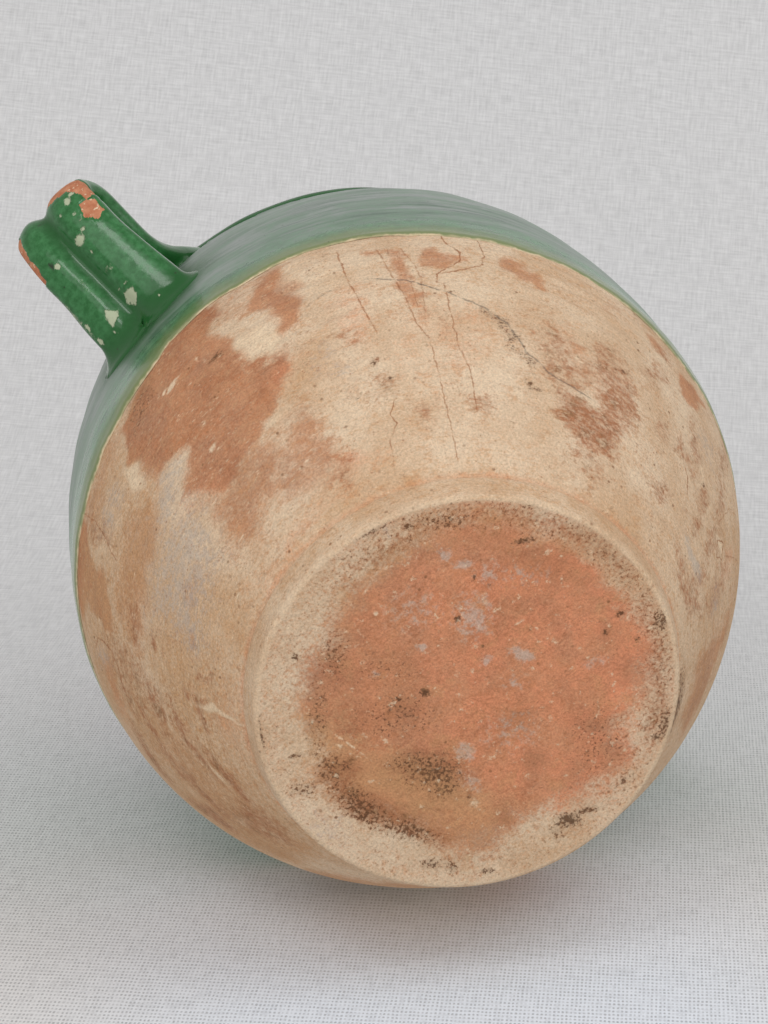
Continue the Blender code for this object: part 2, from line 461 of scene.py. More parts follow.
class Graph:
    """A short hand for the nodes of one material."""

    FAINT = 0.12              # below this share a ragged mask fades out

    def __init__(self, name: str) -> None:
        """Start a material with one shader.

        Args:
            name: The material's name.
        """
        self.material = bpy.data.materials.new(name)
        self.material.use_nodes = True
        self.tree = self.material.node_tree
        self.shader = self.tree.nodes["Principled BSDF"]
        self.place = self.node("ShaderNodeTexCoord").outputs["Object"]

    def node(self, kind: str, **settings: object) -> bpy.types.Node:
        """Add a node.

        Args:
            kind: Blender's name of the node's type.
            settings: Its properties.

        Returns:
            The node.
        """
        made = self.tree.nodes.new(kind)
        for key, value in settings.items():
            setattr(made, key, value)
        return made

    def feed(self, socket: Link, value: Socket) -> None:
        """Link a socket into another, or set its value.

        Args:
            socket: What is fed.
            value: A socket, a number or a colour.
        """
        if isinstance(value, Link):
            self.tree.links.new(value, socket)
        elif isinstance(value, (int, float)):
            socket.default_value = value
        else:
            wanted = len(socket.default_value)
            socket.default_value = (*value, 1.0)[:wanted] if wanted == 4 else tuple(value)

    def stretched(self, x: float, y: float, z: float) -> Link:
        """Multiply the place along each axis, so that a noise is squeezed there."""
        return self.vector_maths("MULTIPLY", self.place, (x, y, z)).outputs[0]

    def fed(self, kind: str, inputs: dict, **settings: object) -> bpy.types.Node:
        """Add a node and feed it.

        Args:
            kind: Blender's name of the node's type.
            inputs: What its inputs are fed, by their names or numbers.
            settings: Its properties.

        Returns:
            The node.
        """
        made = self.node(kind, **settings)
        for key, value in inputs.items():
            self.feed(made.inputs[key], value)
        return made

    def vector_maths(self, operation: str, *values: Socket) -> bpy.types.Node:
        """Work out one sum of vectors, named as Blender does."""
        return self.fed("ShaderNodeVectorMath", dict(enumerate(values)), operation=operation)

    def noise(self, size: float, detail: float = 3.0, where: Optional[Socket] = None,
              rough: float = 0.55, bend: float = 0.0) -> Link:
        """Add a noise.

        Args:
            size: Typical size of its forms, millimetres.
            detail: How many finer layers it has.
            where: The place it is read at, if it isn't the plain one.
            rough: How strong the finer layers are.
            bend: How far it distorts itself.

        Returns:
            A value around 0.5.
        """
        inputs = {"Vector": where or self.place, "Scale": 1000.0 / size, "Detail": detail,
                  "Roughness": rough, "Distortion": bend}
        return self.fed("ShaderNodeTexNoise", inputs, noise_dimensions="3D").outputs["Fac"]

    def dots(self, size: float) -> Link:
        """Measure the distance from scattered points, as a share of their cells' size in mm."""
        inputs = {"Vector": self.place, "Scale": 1000.0 / size}
        return self.fed("ShaderNodeTexVoronoi", inputs, feature="F1").outputs["Distance"]

    def attribute(self, name: str, part: str = "Fac") -> Link:
        """Read what was painted on the mesh."""
        return self.node("ShaderNodeAttribute", attribute_name=name).outputs[part]

    def parts(self, vector: Link) -> list[Link]:
        """Split a vector into its three numbers."""
        return list(self.fed("ShaderNodeSeparateXYZ", {0: vector}).outputs)

    def maths(self, operation: str, *values: Socket) -> Link:
        """Work out one sum, named as Blender does."""
        return self.fed("ShaderNodeMath", dict(enumerate(values)), operation=operation).outputs[0]

    def times(self, first: Socket, second: Socket) -> Link:
        """Multiply two values."""
        return self.maths("MULTIPLY", first, second)

    def scaled(self, value: Socket, by: Socket, plus: Socket) -> Link:
        """Multiply a value by another and add a third."""
        return self.maths("MULTIPLY_ADD", value, by, plus)

    def step(self, value: Socket, low: float, high: float, start: float = 0.0,
             end: float = 1.0) -> Link:
        """Ease from start at low to end at high.

        Args:
            value: What is eased.
            low: Where it starts.
            high: Where it ends.
            start: The result up to low.
            end: The result from high on.

        Returns:
            The result.
        """
        inputs = {"Value": value, "From Min": low, "From Max": high, "To Min": start, "To Max": end}
        return self.fed("ShaderNodeMapRange", inputs, interpolation_type="SMOOTHSTEP").outputs[0]

    def evened(self, noise: Socket) -> Link:
        """Spread a noise, which keeps near 0.5, over the whole range from 0 to 1."""
        return self.step(noise, 0.3, 0.7)

    def grey(self, value: Socket) -> Link:
        """Make a grey colour."""
        return self.fed("ShaderNodeCombineColor", dict.fromkeys(range(3), value)).outputs[0]

    def ragged(self, mask: Socket, grain: Socket, pull: float, edge: float) -> Link:
        """Give a soft painted mask a ragged edge.

        Args:
            mask: The painted share, 0.5 at its edge.
            grain: A noise spread from 0 to 1.
            pull: How far the noise moves the edge, below 1.
            edge: Half width of the edge that is left.

        Returns:
            The mask with its new edge, and nothing where nothing was painted.
        """
        shaken = self.scaled(grain, pull, mask)
        middle = 0.5 + pull / 2
        made = self.step(shaken, middle - edge, middle + edge)
        return self.times(made, self.step(mask, 0.0, self.FAINT))

    def mix(self, share: Socket, first: Socket, second: Socket, blend: str = "MIX") -> Link:
        """Mix two colours.

        Args:
            share: How much of the second.
            first: The colour at 0.
            second: The colour at 1.
            blend: Blender's name of the way they mix.

        Returns:
            The mixed colour.
        """
        inputs = {0: share, 6: first, 7: second}
        return self.fed("ShaderNodeMix", inputs, data_type="RGBA", blend_type=blend).outputs[2]

    def bump(self, height: Socket, depth: float, normal: Optional[Socket] = None) -> Link:
        """Let a height stand out of the surface.

        Args:
            height: The height, 0 to 1.
            depth: How many millimetres that is.
            normal: The surface it adds to.

        Returns:
            The new surface direction.
        """
        inputs = {"Height": height, "Distance": depth * MM}
        if normal is not None:
            inputs["Normal"] = normal
        return self.fed("ShaderNodeBump", inputs).outputs[0]

    def finish(self, color: Socket, roughness: Socket, normal: Socket,
               **sockets: float) -> bpy.types.Material:
        """Feed the shader.

        Args:
            color: Its colour.
            roughness: Its roughness.
            normal: Its surface direction.
            sockets: Further numbers, by the socket's name with _ for a space.

        Returns:
            The material.
        """
        for key, value in (("Base Color", color), ("Roughness", roughness), ("Normal", normal)):
            self.feed(self.shader.inputs[key], value)
        for key, value in sockets.items():
            self.shader.inputs[key.replace("_", " ")].default_value = value
        return self.material


@dataclass(frozen=True)
class BareClay:
    """Old unglazed earthenware: buff skin, red flashes, rust, hairlines and specks."""

    cream: Color = srgb(222, 197, 168)
    buff: Color = srgb(208, 177, 145)
    ochre: Color = srgb(196, 146, 102)
    tan: Color = srgb(193, 148, 104)
    flash: Color = srgb(188, 124, 84)
    deep_flash: Color = srgb(168, 108, 74)
    blush: Color = srgb(228, 144, 106)
    rust: Color = srgb(164, 108, 74)
    umber: Color = srgb(126, 86, 54)
    soot: Color = srgb(86, 58, 38)
    grey: Color = srgb(190, 180, 168)
    hair: Color = srgb(152, 92, 50)
    scratch: Color = srgb(104, 94, 84)
    chip: Color = srgb(232, 208, 176)

    def material(self) -> bpy.types.Material:
        """Build the finish."""
        g = Graph("bare_clay")
        wiped = g.stretched(1.0, 1.0, 1.7)
        cloud = g.noise(30, 4)
        grain = g.noise(0.8, 3, rough=0.7)
        rag = g.evened(g.noise(9, 6, wiped, 0.68, 0.4))
        crumb = g.evened(g.noise(2.6, 5, wiped, 0.7))
        dust = g.evened(g.noise(1.2, 3, wiped, 0.7))
        blend = g.scaled(crumb, 0.45, g.times(rag, 0.55))
        grit = g.attribute("grit")
        fine = g.scaled(dust, 0.6, g.times(crumb, 0.4))
        finer = g.maths("SUBTRACT", fine, blend)
        blend = g.scaled(finer, g.times(grit, 0.75), blend)
        color = g.mix(g.step(cloud, 0.38, 0.66), self.cream, self.buff)
        color = g.mix(g.times(g.step(blend, 0.45, 0.95), 0.55), color, self.ochre)
        tan = g.times(g.attribute("tan"), g.step(blend, 0.05, 0.95, 0.35, 1.0))
        color = g.mix(tan, color, self.tan)
        red = g.ragged(g.attribute("flash"), blend, 0.55, 0.32)
        flash = g.mix(g.step(g.noise(16, 5, bend=0.4), 0.38, 0.66), self.flash, self.deep_flash)
        flash = g.mix(g.times(g.step(crumb, 0.5, 1.0), 0.35), flash, self.ochre)
        tanned = g.times(g.ragged(g.attribute("tan"), blend, 0.8, 0.3), g.scaled(grit, 0.3, 0.4))
        flash = g.mix(tanned, flash, self.tan)
        color = g.mix(g.times(red, g.step(blend, 0.1, 0.9, 0.95, 0.72)), color, flash)
        blush = g.ragged(g.attribute("blush"), blend, 0.5, 0.4)
        blush = g.times(blush, g.step(g.noise(13, 4), 0.36, 0.62, 0.4, 1.0))
        blush = g.times(blush, g.scaled(g.attribute("tan"), -0.75, 1.0))
        blush = g.times(blush, g.scaled(grit, 0.4, 0.4))
        color = g.mix(blush, color, self.blush)
        soot = g.attribute("soot")
        color = g.mix(g.times(soot, 0.6), color, self.umber)
        for mask, crumbs, pull, edge, share, tint in (
                (g.attribute("rust"), blend, 0.74, 0.42, g.step(crumb, 0.1, 0.9, 0.5, 0.88),
                 g.mix(g.step(g.noise(5, 4), 0.48, 0.7), self.rust, self.umber)),
                (g.attribute("grey"), crumb, 0.8, 0.34, 0.58, self.grey),
                (g.attribute("pale"), blend, 0.6, 0.26, 0.8, self.chip),
                (soot, dust, 0.95, 0.18, 0.8, self.soot)):
            layer = g.ragged(mask, crumbs, pull, edge)
            color = g.mix(g.times(layer, share), color, tint)
        color = self.specks(g, color, wiped, dust)
        color = self.lines(g, color)
        shade = g.step(grain, 0.3, 0.7, 0.88, 1.18)
        color = g.mix(1.0, color, g.grey(shade), "MULTIPLY")
        rings = g.noise(3.0, 3, g.stretched(0.06, 0.06, 1.0))
        normal = g.bump(rings, 0.6)
        normal = g.bump(g.noise(7, 5, wiped, 0.65), 0.9, normal)
        normal = g.bump(g.noise(1.6, 5, rough=0.7), 0.55, normal)
        rough = g.step(cloud, 0.3, 0.7, 0.78, 0.92)
        return g.finish(color, rough, normal, IOR=1.45, Specular_IOR_Level=0.3)

    def specks(self, g: Graph, color: Socket, wiped: Socket, dust: Socket) -> Link:
        """Scatter iron specks, pits and lime flecks.

        Args:
            g: The material's nodes.
            color: The colour below.
            wiped: The place, squeezed along the pot's height.
            dust: A fine noise, spread from 0 to 1, that gathers them.

        Returns:
            The colour with the specks.
        """
        thick = g.step(g.noise(12, 4), 0.4, 0.66)
        thick = g.maths("MAXIMUM", thick, g.times(dust, 0.65))
        grime = g.step(g.noise(2.2, 6, wiped, 0.78), 0.5, 0.66)
        grime = g.times(grime, g.step(g.noise(18, 4), 0.36, 0.66, 0.06, 0.44))
        color = g.mix(grime, color, self.deep_flash)
        turning = g.step(g.noise(1.0, 4, g.stretched(0.08, 0.08, 1.3), 0.7), 0.54, 0.68)
        color = g.mix(g.times(turning, 0.3), color, self.tan)
        looks = ((2.4, 0.2, 0.6, self.rust), (5.5, 0.15, 0.8, self.umber))
        for size, reach, share, tint in looks:
            speck = g.step(g.dots(size), reach * 0.4, reach, 1.0, 0.0)
            speck = g.times(speck, g.times(thick, share))
            color = g.mix(speck, color, tint)
        thrown = g.stretched(0.45, 0.45, 1.6)
        lime = g.step(g.noise(1.6, 4, thrown, 0.68), 0.6, 0.7)
        color = g.mix(g.times(lime, g.scaled(dust, 0.25, 0.46)), color, self.chip)
        pepper = g.times(g.step(g.noise(0.9, 4, rough=0.75), 0.58, 0.66),
                         g.step(g.noise(9, 4), 0.38, 0.62, 0.15, 0.75))
        color = g.mix(g.times(pepper, dust), color, self.umber)
        pits = g.step(g.noise(1.0, 3, rough=0.65), 0.62, 0.72)
        return g.mix(g.times(pits, 0.4), color, self.deep_flash)

    def lines(self, g: Graph, color: Socket) -> Link:
        """Draw the hairlines and scratches that were painted as distances.

        Args:
            g: The material's nodes.
            color: The colour below.

        Returns:
            The colour with the lines.
        """
        wander = g.scaled(g.noise(4, 5, rough=0.65), 2.8, -1.4)
        gaps = g.noise(3, 3)
        beside = g.parts(g.attribute("beside", "Vector"))
        weight = g.parts(g.attribute("weight", "Vector"))
        looks = ((0.45, self.hair, 0.85), (0.45, self.hair, 0.85), (0.6, self.scratch, 0.75))
        for side, share, (half, tint, depth) in zip(beside, weight, looks):
            away = g.maths("ABSOLUTE", g.maths("ADD", side, wander))
            line = g.step(away, half * 0.3, half, 1.0, 0.0)
            broken = g.step(gaps, 0.36, 0.54, 0.25, 1.0)
            line = g.times(g.times(line, share), broken)
            color = g.mix(g.times(line, depth), color, tint)
        return color


@dataclass(frozen=True)
class GreenGlaze:
    """Copper green lead glaze: streaked, thin at its lower line, pooled at the roots, and milky in
    a veil that is partly a painted sheen towards grazing angles.
    """

    thick: Color = srgb(28, 94, 40)
    thin: Color = srgb(74, 140, 86)
    # the veil's milky colour, partly a painted sheen
    milky: Color = srgb(144, 151, 146)
    stain: Color = srgb(50, 86, 62)
    olive: Color = srgb(124, 132, 84)
    edge: Color = srgb(218, 196, 160)
    pool: Color = srgb(18, 78, 25)
    pin: Color = srgb(40, 44, 30)
    flake: Color = srgb(214, 214, 184)
    roughness: float = 0.14

    def material(self, name: str) -> bpy.types.Material:
        """Build the finish.

        Args:
            name: The material's name.

        Returns:
            The material.
        """
        g = Graph(name)
        around = g.stretched(0.1, 0.1, 1.0)
        streak = g.noise(5.0, 5, around, 0.65)
        broad = g.noise(14, 4, bend=0.5)
        mottle = g.noise(2.6, 5, rough=0.65)
        milk = g.step(g.scaled(streak, 0.7, g.times(broad, 0.5)), 0.45, 0.78)
        color = g.mix(g.step(mottle, 0.26, 0.78), self.thick, self.thin)
        facing = g.node("ShaderNodeLayerWeight").outputs["Facing"]
        # painted sheen: the milky veil grows towards grazing angles and keeps a fifth of its
        # strength where the surface faces the view
        haze_and_sheen = g.times(g.attribute("veil"), g.step(facing, 0.35, 0.8, 0.2, 1.0))
        veil = g.times(g.step(milk, 0.0, 1.0, 0.55, 1.0), haze_and_sheen)
        color = g.mix(veil, color, self.milky)
        thread = g.step(g.noise(6.0, 6, g.stretched(0.08, 0.08, 1.0), 0.72), 0.48, 0.62)
        thread = g.times(thread, g.step(g.attribute("veil"), 0.1, 0.3))
        thread = g.times(thread, g.step(facing, 0.35, 0.8, 0.3, 1.0))
        thread = g.times(thread, g.step(broad, 0.4, 0.62, 0.4, 1.0))
        color = g.mix(g.times(thread, 0.62), color, self.stain)
        pooled = g.times(g.attribute("pool"), g.step(mottle, 0.2, 0.6, 0.75, 1.0))
        color = g.mix(pooled, color, self.pool)
        above = g.maths("ADD", g.attribute("above"), g.scaled(g.noise(6, 4), 8.0, -4.0))
        color = g.mix(g.step(above, 1.0, 16.0, 0.9, 0.0), color, self.olive)
        line = g.maths("ADD", g.attribute("above"), g.scaled(g.noise(3, 4), 2.4, -1.2))
        rubbed = g.times(g.step(line, 0.3, 1.5, 1.0, 0.0),
                         g.step(g.noise(7, 4), 0.4, 0.58, 0.35, 0.9))
        color = g.mix(rubbed, color, self.edge)
        pins = g.maths("LESS_THAN", g.dots(6.0), 0.06)
        color = g.mix(g.times(pins, 0.7), color, self.pin)
        crumb = g.evened(g.noise(1.3, 4, rough=0.7))
        flake = g.ragged(g.attribute("flake"), crumb, 0.3, 0.16)
        color = g.mix(g.times(flake, 0.64), color, self.flake)
        color = g.mix(g.attribute("pit"), color, self.pin)
        normal = g.bump(g.noise(9, 3), 0.25)
        normal = g.bump(thread, -0.05, normal)
        normal = g.bump(flake, -0.25, normal)
        rough = g.step(mottle, 0.3, 0.75, self.roughness - 0.02, self.roughness + 0.05)
        rough = g.scaled(haze_and_sheen, 0.26, rough)
        rough = g.scaled(flake, 0.4, rough)
        return g.finish(color, rough, normal, IOR=1.5, Specular_IOR_Level=0.42)


@dataclass(frozen=True)
class HandleClay:
    """Iron-rich clay of the pulled straps, seen where the glaze is chipped."""

    fresh: Color = srgb(202, 140, 106)
    worn: Color = srgb(180, 112, 80)
    pale: Color = srgb(226, 202, 170)

    def material(self, name: str) -> bpy.types.Material:
        """Build the finish.

        Args:
            name: The material's name.

        Returns:
            The material.
        """
        g = Graph(name)
        color = g.mix(g.step(g.noise(4, 4), 0.35, 0.65), self.fresh, self.worn)
        color = g.mix(g.step(g.noise(1.5, 3), 0.6, 0.72), color, self.pale)
        normal = g.bump(g.noise(0.9, 3), 0.3)
        return g.finish(color, 0.82, normal, IOR=1.45, Specular_IOR_Level=0.3)


@dataclass(frozen=True)
class HoneyGlaze:
    """Amber lead glaze of the inside, streaked, with broad darker patches and iron specks."""

    light: Color = srgb(196, 142, 66)
    dark: Color = srgb(150, 92, 36)
    iron: Color = srgb(92, 54, 24)

    def material(self) -> bpy.types.Material:
        """Build the finish."""
        g = Graph("honey_glaze")
        streak = g.noise(4, 4, g.stretched(0.12, 0.12, 1.0))
        color = g.mix(g.step(streak, 0.35, 0.68), self.light, self.dark)
        color = g.mix(g.step(g.noise(20, 4), 0.5, 0.75, 0.0, 0.7), color, self.dark)
        specks = g.maths("LESS_THAN", g.dots(4.0), 0.1)
        color = g.mix(g.times(specks, 0.7), color, self.iron)
        normal = g.bump(g.noise(8, 3), 0.3)
        normal = g.bump(streak, 0.12, normal)
        return g.finish(color, g.step(streak, 0.3, 0.7, 0.14, 0.26), normal, IOR=1.52)


def make_piece(name: str, points: Array, faces: Faces,
               paint: dict[str, Array], material: bpy.types.Material) -> bpy.types.Object:
    """Turn points and faces into a smooth, painted piece that rides on the pot.

    Args:
        name: The piece's name.
        points: Rows of x, y, z.
        faces: Rows of point numbers.
        paint: Values by name, a number or three for each point.
        material: Its finish.

    Returns:
        The piece.
    """
    mesh = bpy.data.meshes.new(name)
    mesh.from_pydata(points.tolist(), [], faces)
    for key, values in paint.items():
        kind = "FLOAT" if values.ndim == 1 else "FLOAT_VECTOR"
        layer = mesh.attributes.new(key, kind, "POINT")
        layer.data.foreach_set("value" if values.ndim == 1 else "vector",
                               values.astype(np.float32).ravel())
    mesh.shade_smooth()
    mesh.materials.append(material)
    mesh.validate()
    piece = bpy.data.objects.new(name, mesh)
    bpy.context.scene.collection.objects.link(piece)
    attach(piece, "root")
    return piece


def ring_faces(rows: int, columns: int, closed_rows: bool = False) -> Faces:
    """Join rows of points, each row a closed ring, into four-sided faces.

    Args:
        rows: How many rings.
        columns: How many points in each.
        closed_rows: Whether the last ring joins the first.

    Returns:
        The faces.
    """
    faces = []
    for i in range(rows if closed_rows else rows - 1):
        here, after = i * columns, (i + 1) % rows * columns
        for j in range(columns):
            k = (j + 1) % columns
            faces.append((here + j, here + k, after + k, after + j))
    return faces


def capped_faces(rows: int, columns: int) -> Faces:
    """Join rings as ring_faces does and close both ends with fans.

    Args:
        rows: How many rings.
        columns: How many points in each. The fans' two middle points are numbered after them.

    Returns:
        The faces.
    """
    faces = ring_faces(rows, columns)
    last, hub = (rows - 1) * columns, rows * columns
    for j in range(columns):
        k = (j + 1) % columns
        faces.append((hub, k, j))
        faces.append((hub + 1, last + j, last + k))
    return faces


def turned(radius: Array, height: Array, angle: Array) -> Array:
    """Place points round the pot's axis, with a last axis of x, y, z."""
    x, y = radius * np.cos(angle), radius * np.sin(angle)
    return np.stack([x, y, np.broadcast_to(height, x.shape)], axis=-1)


class WallMarks:
    """What age and fire left on the bare clay, placed as in the photo, with partly painted shade on
    the wall's sides, painted shade in the foot's crease and a partly painted highlight on the
    foot's edge.
    """

    FLASHES = marks(
        (((-63, 73), (-62.5, 85), (-63, 98), (-61, 110), (-57, 117), (-50, 120), (-46, 123),
          (-42, 129), (-35, 129), (-34.5, 112), (-38, 107), (-37, 98), (-36, 88), (-34, 81),
          (-29, 77), (-27.5, 70), (-32, 63), (-38, 57), (-40, 50), (-48, 47), (-57, 52), (-58, 58),
          (-54, 63), (-53, 68), (-57, 72)), 1, 4.5),
        (((-60, 52), (-40, 54), (-36, 50), (-28, 58), (-25, 45), (-24, 24), (-33, 20), (-45, 27),
          (-54, 22), (-61, 27), (-58, 40)), 0.6, 9),
        (((-29, 84), (-29, 123), (-22.5, 123), (-21, 110), (-23.5, 96), (-25, 84)), 0.86, 4),
        (((-36, 103), (-36, 124), (-28, 124), (-28, 103)), 0.45, 4),
        (((-93, 80), (-92, 98), (-96, 112), (-93, 122), (-80, 122), (-77, 112), (-80, 106),
          (-82, 98), (-81, 84), (-86, 80)), 0.92, 3),
        (((-90, 80), (-66, 82), (-63, 72), (-70, 62), (-86, 56), (-93, 62)), 0.62, 7),
        (((-80, 120), (-63, 118), (-62, 104), (-72, 98), (-79, 102)), 0.52, 6),
        (((-113, 99), (-100, 101), (-99, 80), (-108, 82)), 0.62, 6),
        (((-150, 14), (-150, 84), (-112, 80), (-100, 62), (-104, 30), (-118, 14)), 0.52, 14),
        (((-7.4, 112), (-4.2, 112), (-1.6, 98), (-2, 85), (-2.8, 70), (-5, 78),
          (-6.4, 95)), 0.64, 1.8),
        (((0, 100), (-0.4, 112), (3.5, 115.5), (6.4, 110), (5.2, 103), (2.6, 98.5)), 0.66, 1.6),
        (((14, 99), (13.5, 112), (17.5, 115), (20.5, 108), (20, 97), (17, 95)), 0.7, 3),
        (((50.2, 92), (50.2, 105), (54, 109), (57.3, 104), (57, 93), (54, 89)), 0.72, 2),
        (((31, 99), (31, 112), (35, 113), (36, 102)), 0.46, 3.5),
        (((27, 52), (22, 62), (20, 76), (26, 80), (32, 72), (39, 78), (42, 60), (40, 44), (36, 30),
          (28, 24), (24, 34), (24, 46)), 0.46, 6),
        (((40, 99), (39, 113), (45, 113), (46.5, 101), (43, 96)), 0.56, 3.5),
        # partly a red-brown stain and partly painted shade, on the lower right wall where it turns
        # from the light
        (((88, 44), (91, 76), (100, 64), (116, 40), (108, 22), (93, 28)), 0.66, 8),
        (160, 84, 17, 27, 0.8, 14), (145, 45, 12, 18, 0.55, 14), (-165, 60, 15, 30, 0.6, 16),
        (185, 40, 14, 16, 0.6, 8),
    )
    BLUSHES = marks(
        (-45, 17, 17, 3, 0.62, 3), (-30, 68, 5, 7, 0.6, 4), (-55, 52, 8, 4, 0.5, 4),
        (-26, 24, 6, 6, 0.6, 4), (-14, 80, 4, 20, 0.42, 6), (-108, 92, 10, 8, 0.5, 5),
        (82, 66, 3.5, 12, 0.5, 4), (0, 62, 12, 22, 0.3, 10), (-100, 20, 18, 6, 0.5, 6),
        (150, 20, 25, 6, 0.5, 6),
    )
    TANS = marks(
        # the first two patches, on the wall's two sides, are partly tan clay and partly painted
        # shade where the wall turns from the light
        (((-150, 8), (-150, 100), (-100, 96), (-96, 62), (-72, 58), (-62, 40), (-62, 10)), 0.9, 16),
        (((58, 8), (62, 60), (72, 100), (100, 100), (150, 60), (150, 8)), 0.45, 16),
        (((-112, 60), (-112, 112), (-84, 116), (-66, 112), (-61, 90), (-64, 66),
          (-80, 58)), 0.75, 10),
        (((-60, 4), (-58, 26), (-40, 22), (-10, 14), (30, 14), (60, 24), (60, 4)), 0.55, 8),
        (((-20, 52), (-20, 74), (-27, 74), (-30, 60), (-26, 44)), 0.6, 7),
        (20, 103, 16, 8, 0.46, 6), (63, 85, 5, 14, 0.5, 6), (-64, 115, 14, 5, 0.7, 4),
        (180, 70, 28, 45, 0.6, 18),
    )
    RUSTS = marks(
        (((18, 57), (17.5, 77), (22, 78), (25, 70), (26, 55), (22, 52)), 0.52, 4),
        (((29, 50), (29, 67), (33, 80), (38.5, 79), (40, 66), (42, 53), (36, 48)), 0.58, 4),
        (((21, 51), (27, 51), (38, 47), (38.5, 32), (30, 30), (23.5, 37)), 0.8, 4),
        (((25.5, 31), (36, 29), (34, 21), (26, 22)), 0.52, 4),
        (((51, 57), (52, 67), (56, 62), (60, 61), (60, 54), (56, 58)), 0.56, 2.5),
        (((61, 54), (62, 63), (66.5, 62), (66, 53)), 0.56, 2.5),
        (((3.6, 30), (3.8, 41), (8.4, 39), (8.4, 31)), 0.5, 2.2),
        (((62, 28), (66, 19), (80, 23), (84, 36), (74, 27)), 0.62, 3),
        (((-110, 45), (-100, 90), (-92, 92), (-94, 60), (-100, 45)), 0.42, 6),
        (-12, 47, 3.6, 5, 0.5, 3), (-94.5, 35, 1.6, 1.8, 0.9, 1.6), (-28, 23, 3, 5, 0.56, 3),
        (-86, 50, 1.8, 2, 0.9, 1.6), (-81, 36, 1.2, 1.2, 0.9, 1.2), (-90, 27, 1.6, 1, 0.8, 1),
        (-132, 36, 8, 14, 0.55, 6), (-128, 36, 4, 3, 0.8, 3), (-8, 33, 1.6, 2, 0.7, 1.4),
        (-13, 58, 1, 1.2, 0.9, 1), (-16, 72, 3, 3, 0.45, 3), (-76, 100, 2.5, 12, 0.5, 3),
        (30, 22, 5, 4, 0.42, 4), (45, 105, 3, 8, 0.42, 3), (68, 95, 2.4, 16, 0.5, 3),
        (150, 100, 10, 9, 0.6, 5), (-155, 96, 9, 10, 0.6, 6), (172, 48, 8, 12, 0.7, 5),
        (58, 74, 2.2, 12, 0.56, 3), (64, 46, 2.2, 8, 0.6, 2.5), (70, 74, 1.8, 14, 0.54, 2.5),
        (47, 60, 2.4, 8, 0.46, 3), (52, 36, 3, 7, 0.52, 3), (75, 32, 3, 8, 0.52, 3),
        (44, 86, 2, 8, 0.46, 2.5), (-118, 30, 10, 3, 0.84, 2, 15), (-108, 45, 9, 2.5, 0.8, 2, 12),
        (-124, 55, 8, 3, 0.86, 2.5, 10), (-112, 67, 9, 2.4, 0.78, 2, 12), (-98, 30, 5, 2, 0.8, 2),
        (-86, 66, 4, 3, 0.74, 2.5), (-74, 40, 4, 5, 0.56, 3), (-102, 60, 7, 2, 0.78, 2, 10),
        (-120, 84, 7, 5, 0.7, 3), (-132, 70, 4, 12, 0.7, 4), (-104, 78, 5, 4, 0.66, 3),
        (73, 52, 3, 12, 0.54, 3), (82, 50, 3, 14, 0.56, 3),
    )
    GREYS = marks(
        (((-84, 30), (-82, 56), (-70, 64), (-58, 54), (-60, 30)), 0.62, 9),
        (-62, 67, 7, 5.5, 0.58, 3.5), (-72, 94, 3.5, 8, 0.5, 4), (69, 34, 5, 2.4, 0.95, 1.6),
        (84, 46, 3, 4, 0.6, 3), (-100, 96, 3.5, 9, 0.45, 4), (175, 108, 9, 8, 0.55, 5),
        (62, 86, 3, 8, 0.42, 4), (-21, 60, 3, 12, 0.36, 4),
    )
    PALES = marks(
        (((-37, 79), (-36.5, 97), (-29.5, 97), (-28.5, 79), (-32, 76)), 0.66, 5),
        (-48, 99.5, 1.9, 1.3, 0.95, 1), (-47, 62, 0.8, 2, 0.9, 0.8), (-46, 73, 0.7, 0.9, 0.9, 0.7),
        (-42.6, 103, 0.35, 2.5, 0.9, 0.6), (-64.5, 90, 1.8, 9, 0.7, 2), (-57, 72, 6, 1.6, 0.6, 1.6),
        (28, 67, 0.7, 1.4, 1, 0.7), (-34, 54, 3, 3.5, 0.6, 3), (-36, 27, 6, 3, 0.45, 3),
        (-98, 22, 0.7, 9, 0.8, 0.8, -8), (61, 66, 1.4, 12, 0.52, 2), (54, 82, 1.6, 10, 0.46, 2),
        (67, 58, 1.2, 12, 0.52, 2), (-114, 38, 6, 1.8, 0.72, 1.6, 14),
        (-106, 53, 5, 1.6, 0.7, 1.6, 12), (-90, 46, 5, 2, 0.5, 1.6), (76, 59, 1.1, 2.6, 0.9, 1.2),
        (-79, 94, 1.5, 9, 0.55, 2), (-18, 108, 8, 14, 0.4, 8), (-125, 68, 3, 7, 0.44, 5, 30),
        (-132, 46, 3, 8, 0.42, 5, 30), (-110, 84, 3, 4, 0.5, 4), (-113, 60, 5, 2, 0.54, 3, 12),
    )
    SOOTS = marks(
        (-41, 97, 1.6, 0.5, 0.95, 0.5, -24), (16.5, 46, 2.6, 0.45, 1, 0.45, -8),
        (-55, 108, 4, 8, 0.24, 4), (-18, 48, 0.4, 0.7, 1, 0.5), (-14, 58, 0.4, 0.6, 1, 0.5),
        (-10.5, 50.5, 0.5, 0.6, 1, 0.5), (103, 16, 8, 2.6, 0.75, 2), (126, 21, 2, 4, 0.7, 2),
        (((6, 79.5), (8, 79.5), (12, 72.5), (14.8, 65), (16.4, 58), (15.5, 57.5), (13.2, 64),
          (10.4, 70), (6, 77)), 0.42, 1),
        (37, 74, 1, 0.9, 0.8, 0.8), (62, 62, 0.8, 1, 0.8, 0.7), (170, 62, 1.4, 1.6, 0.9, 1),
    )
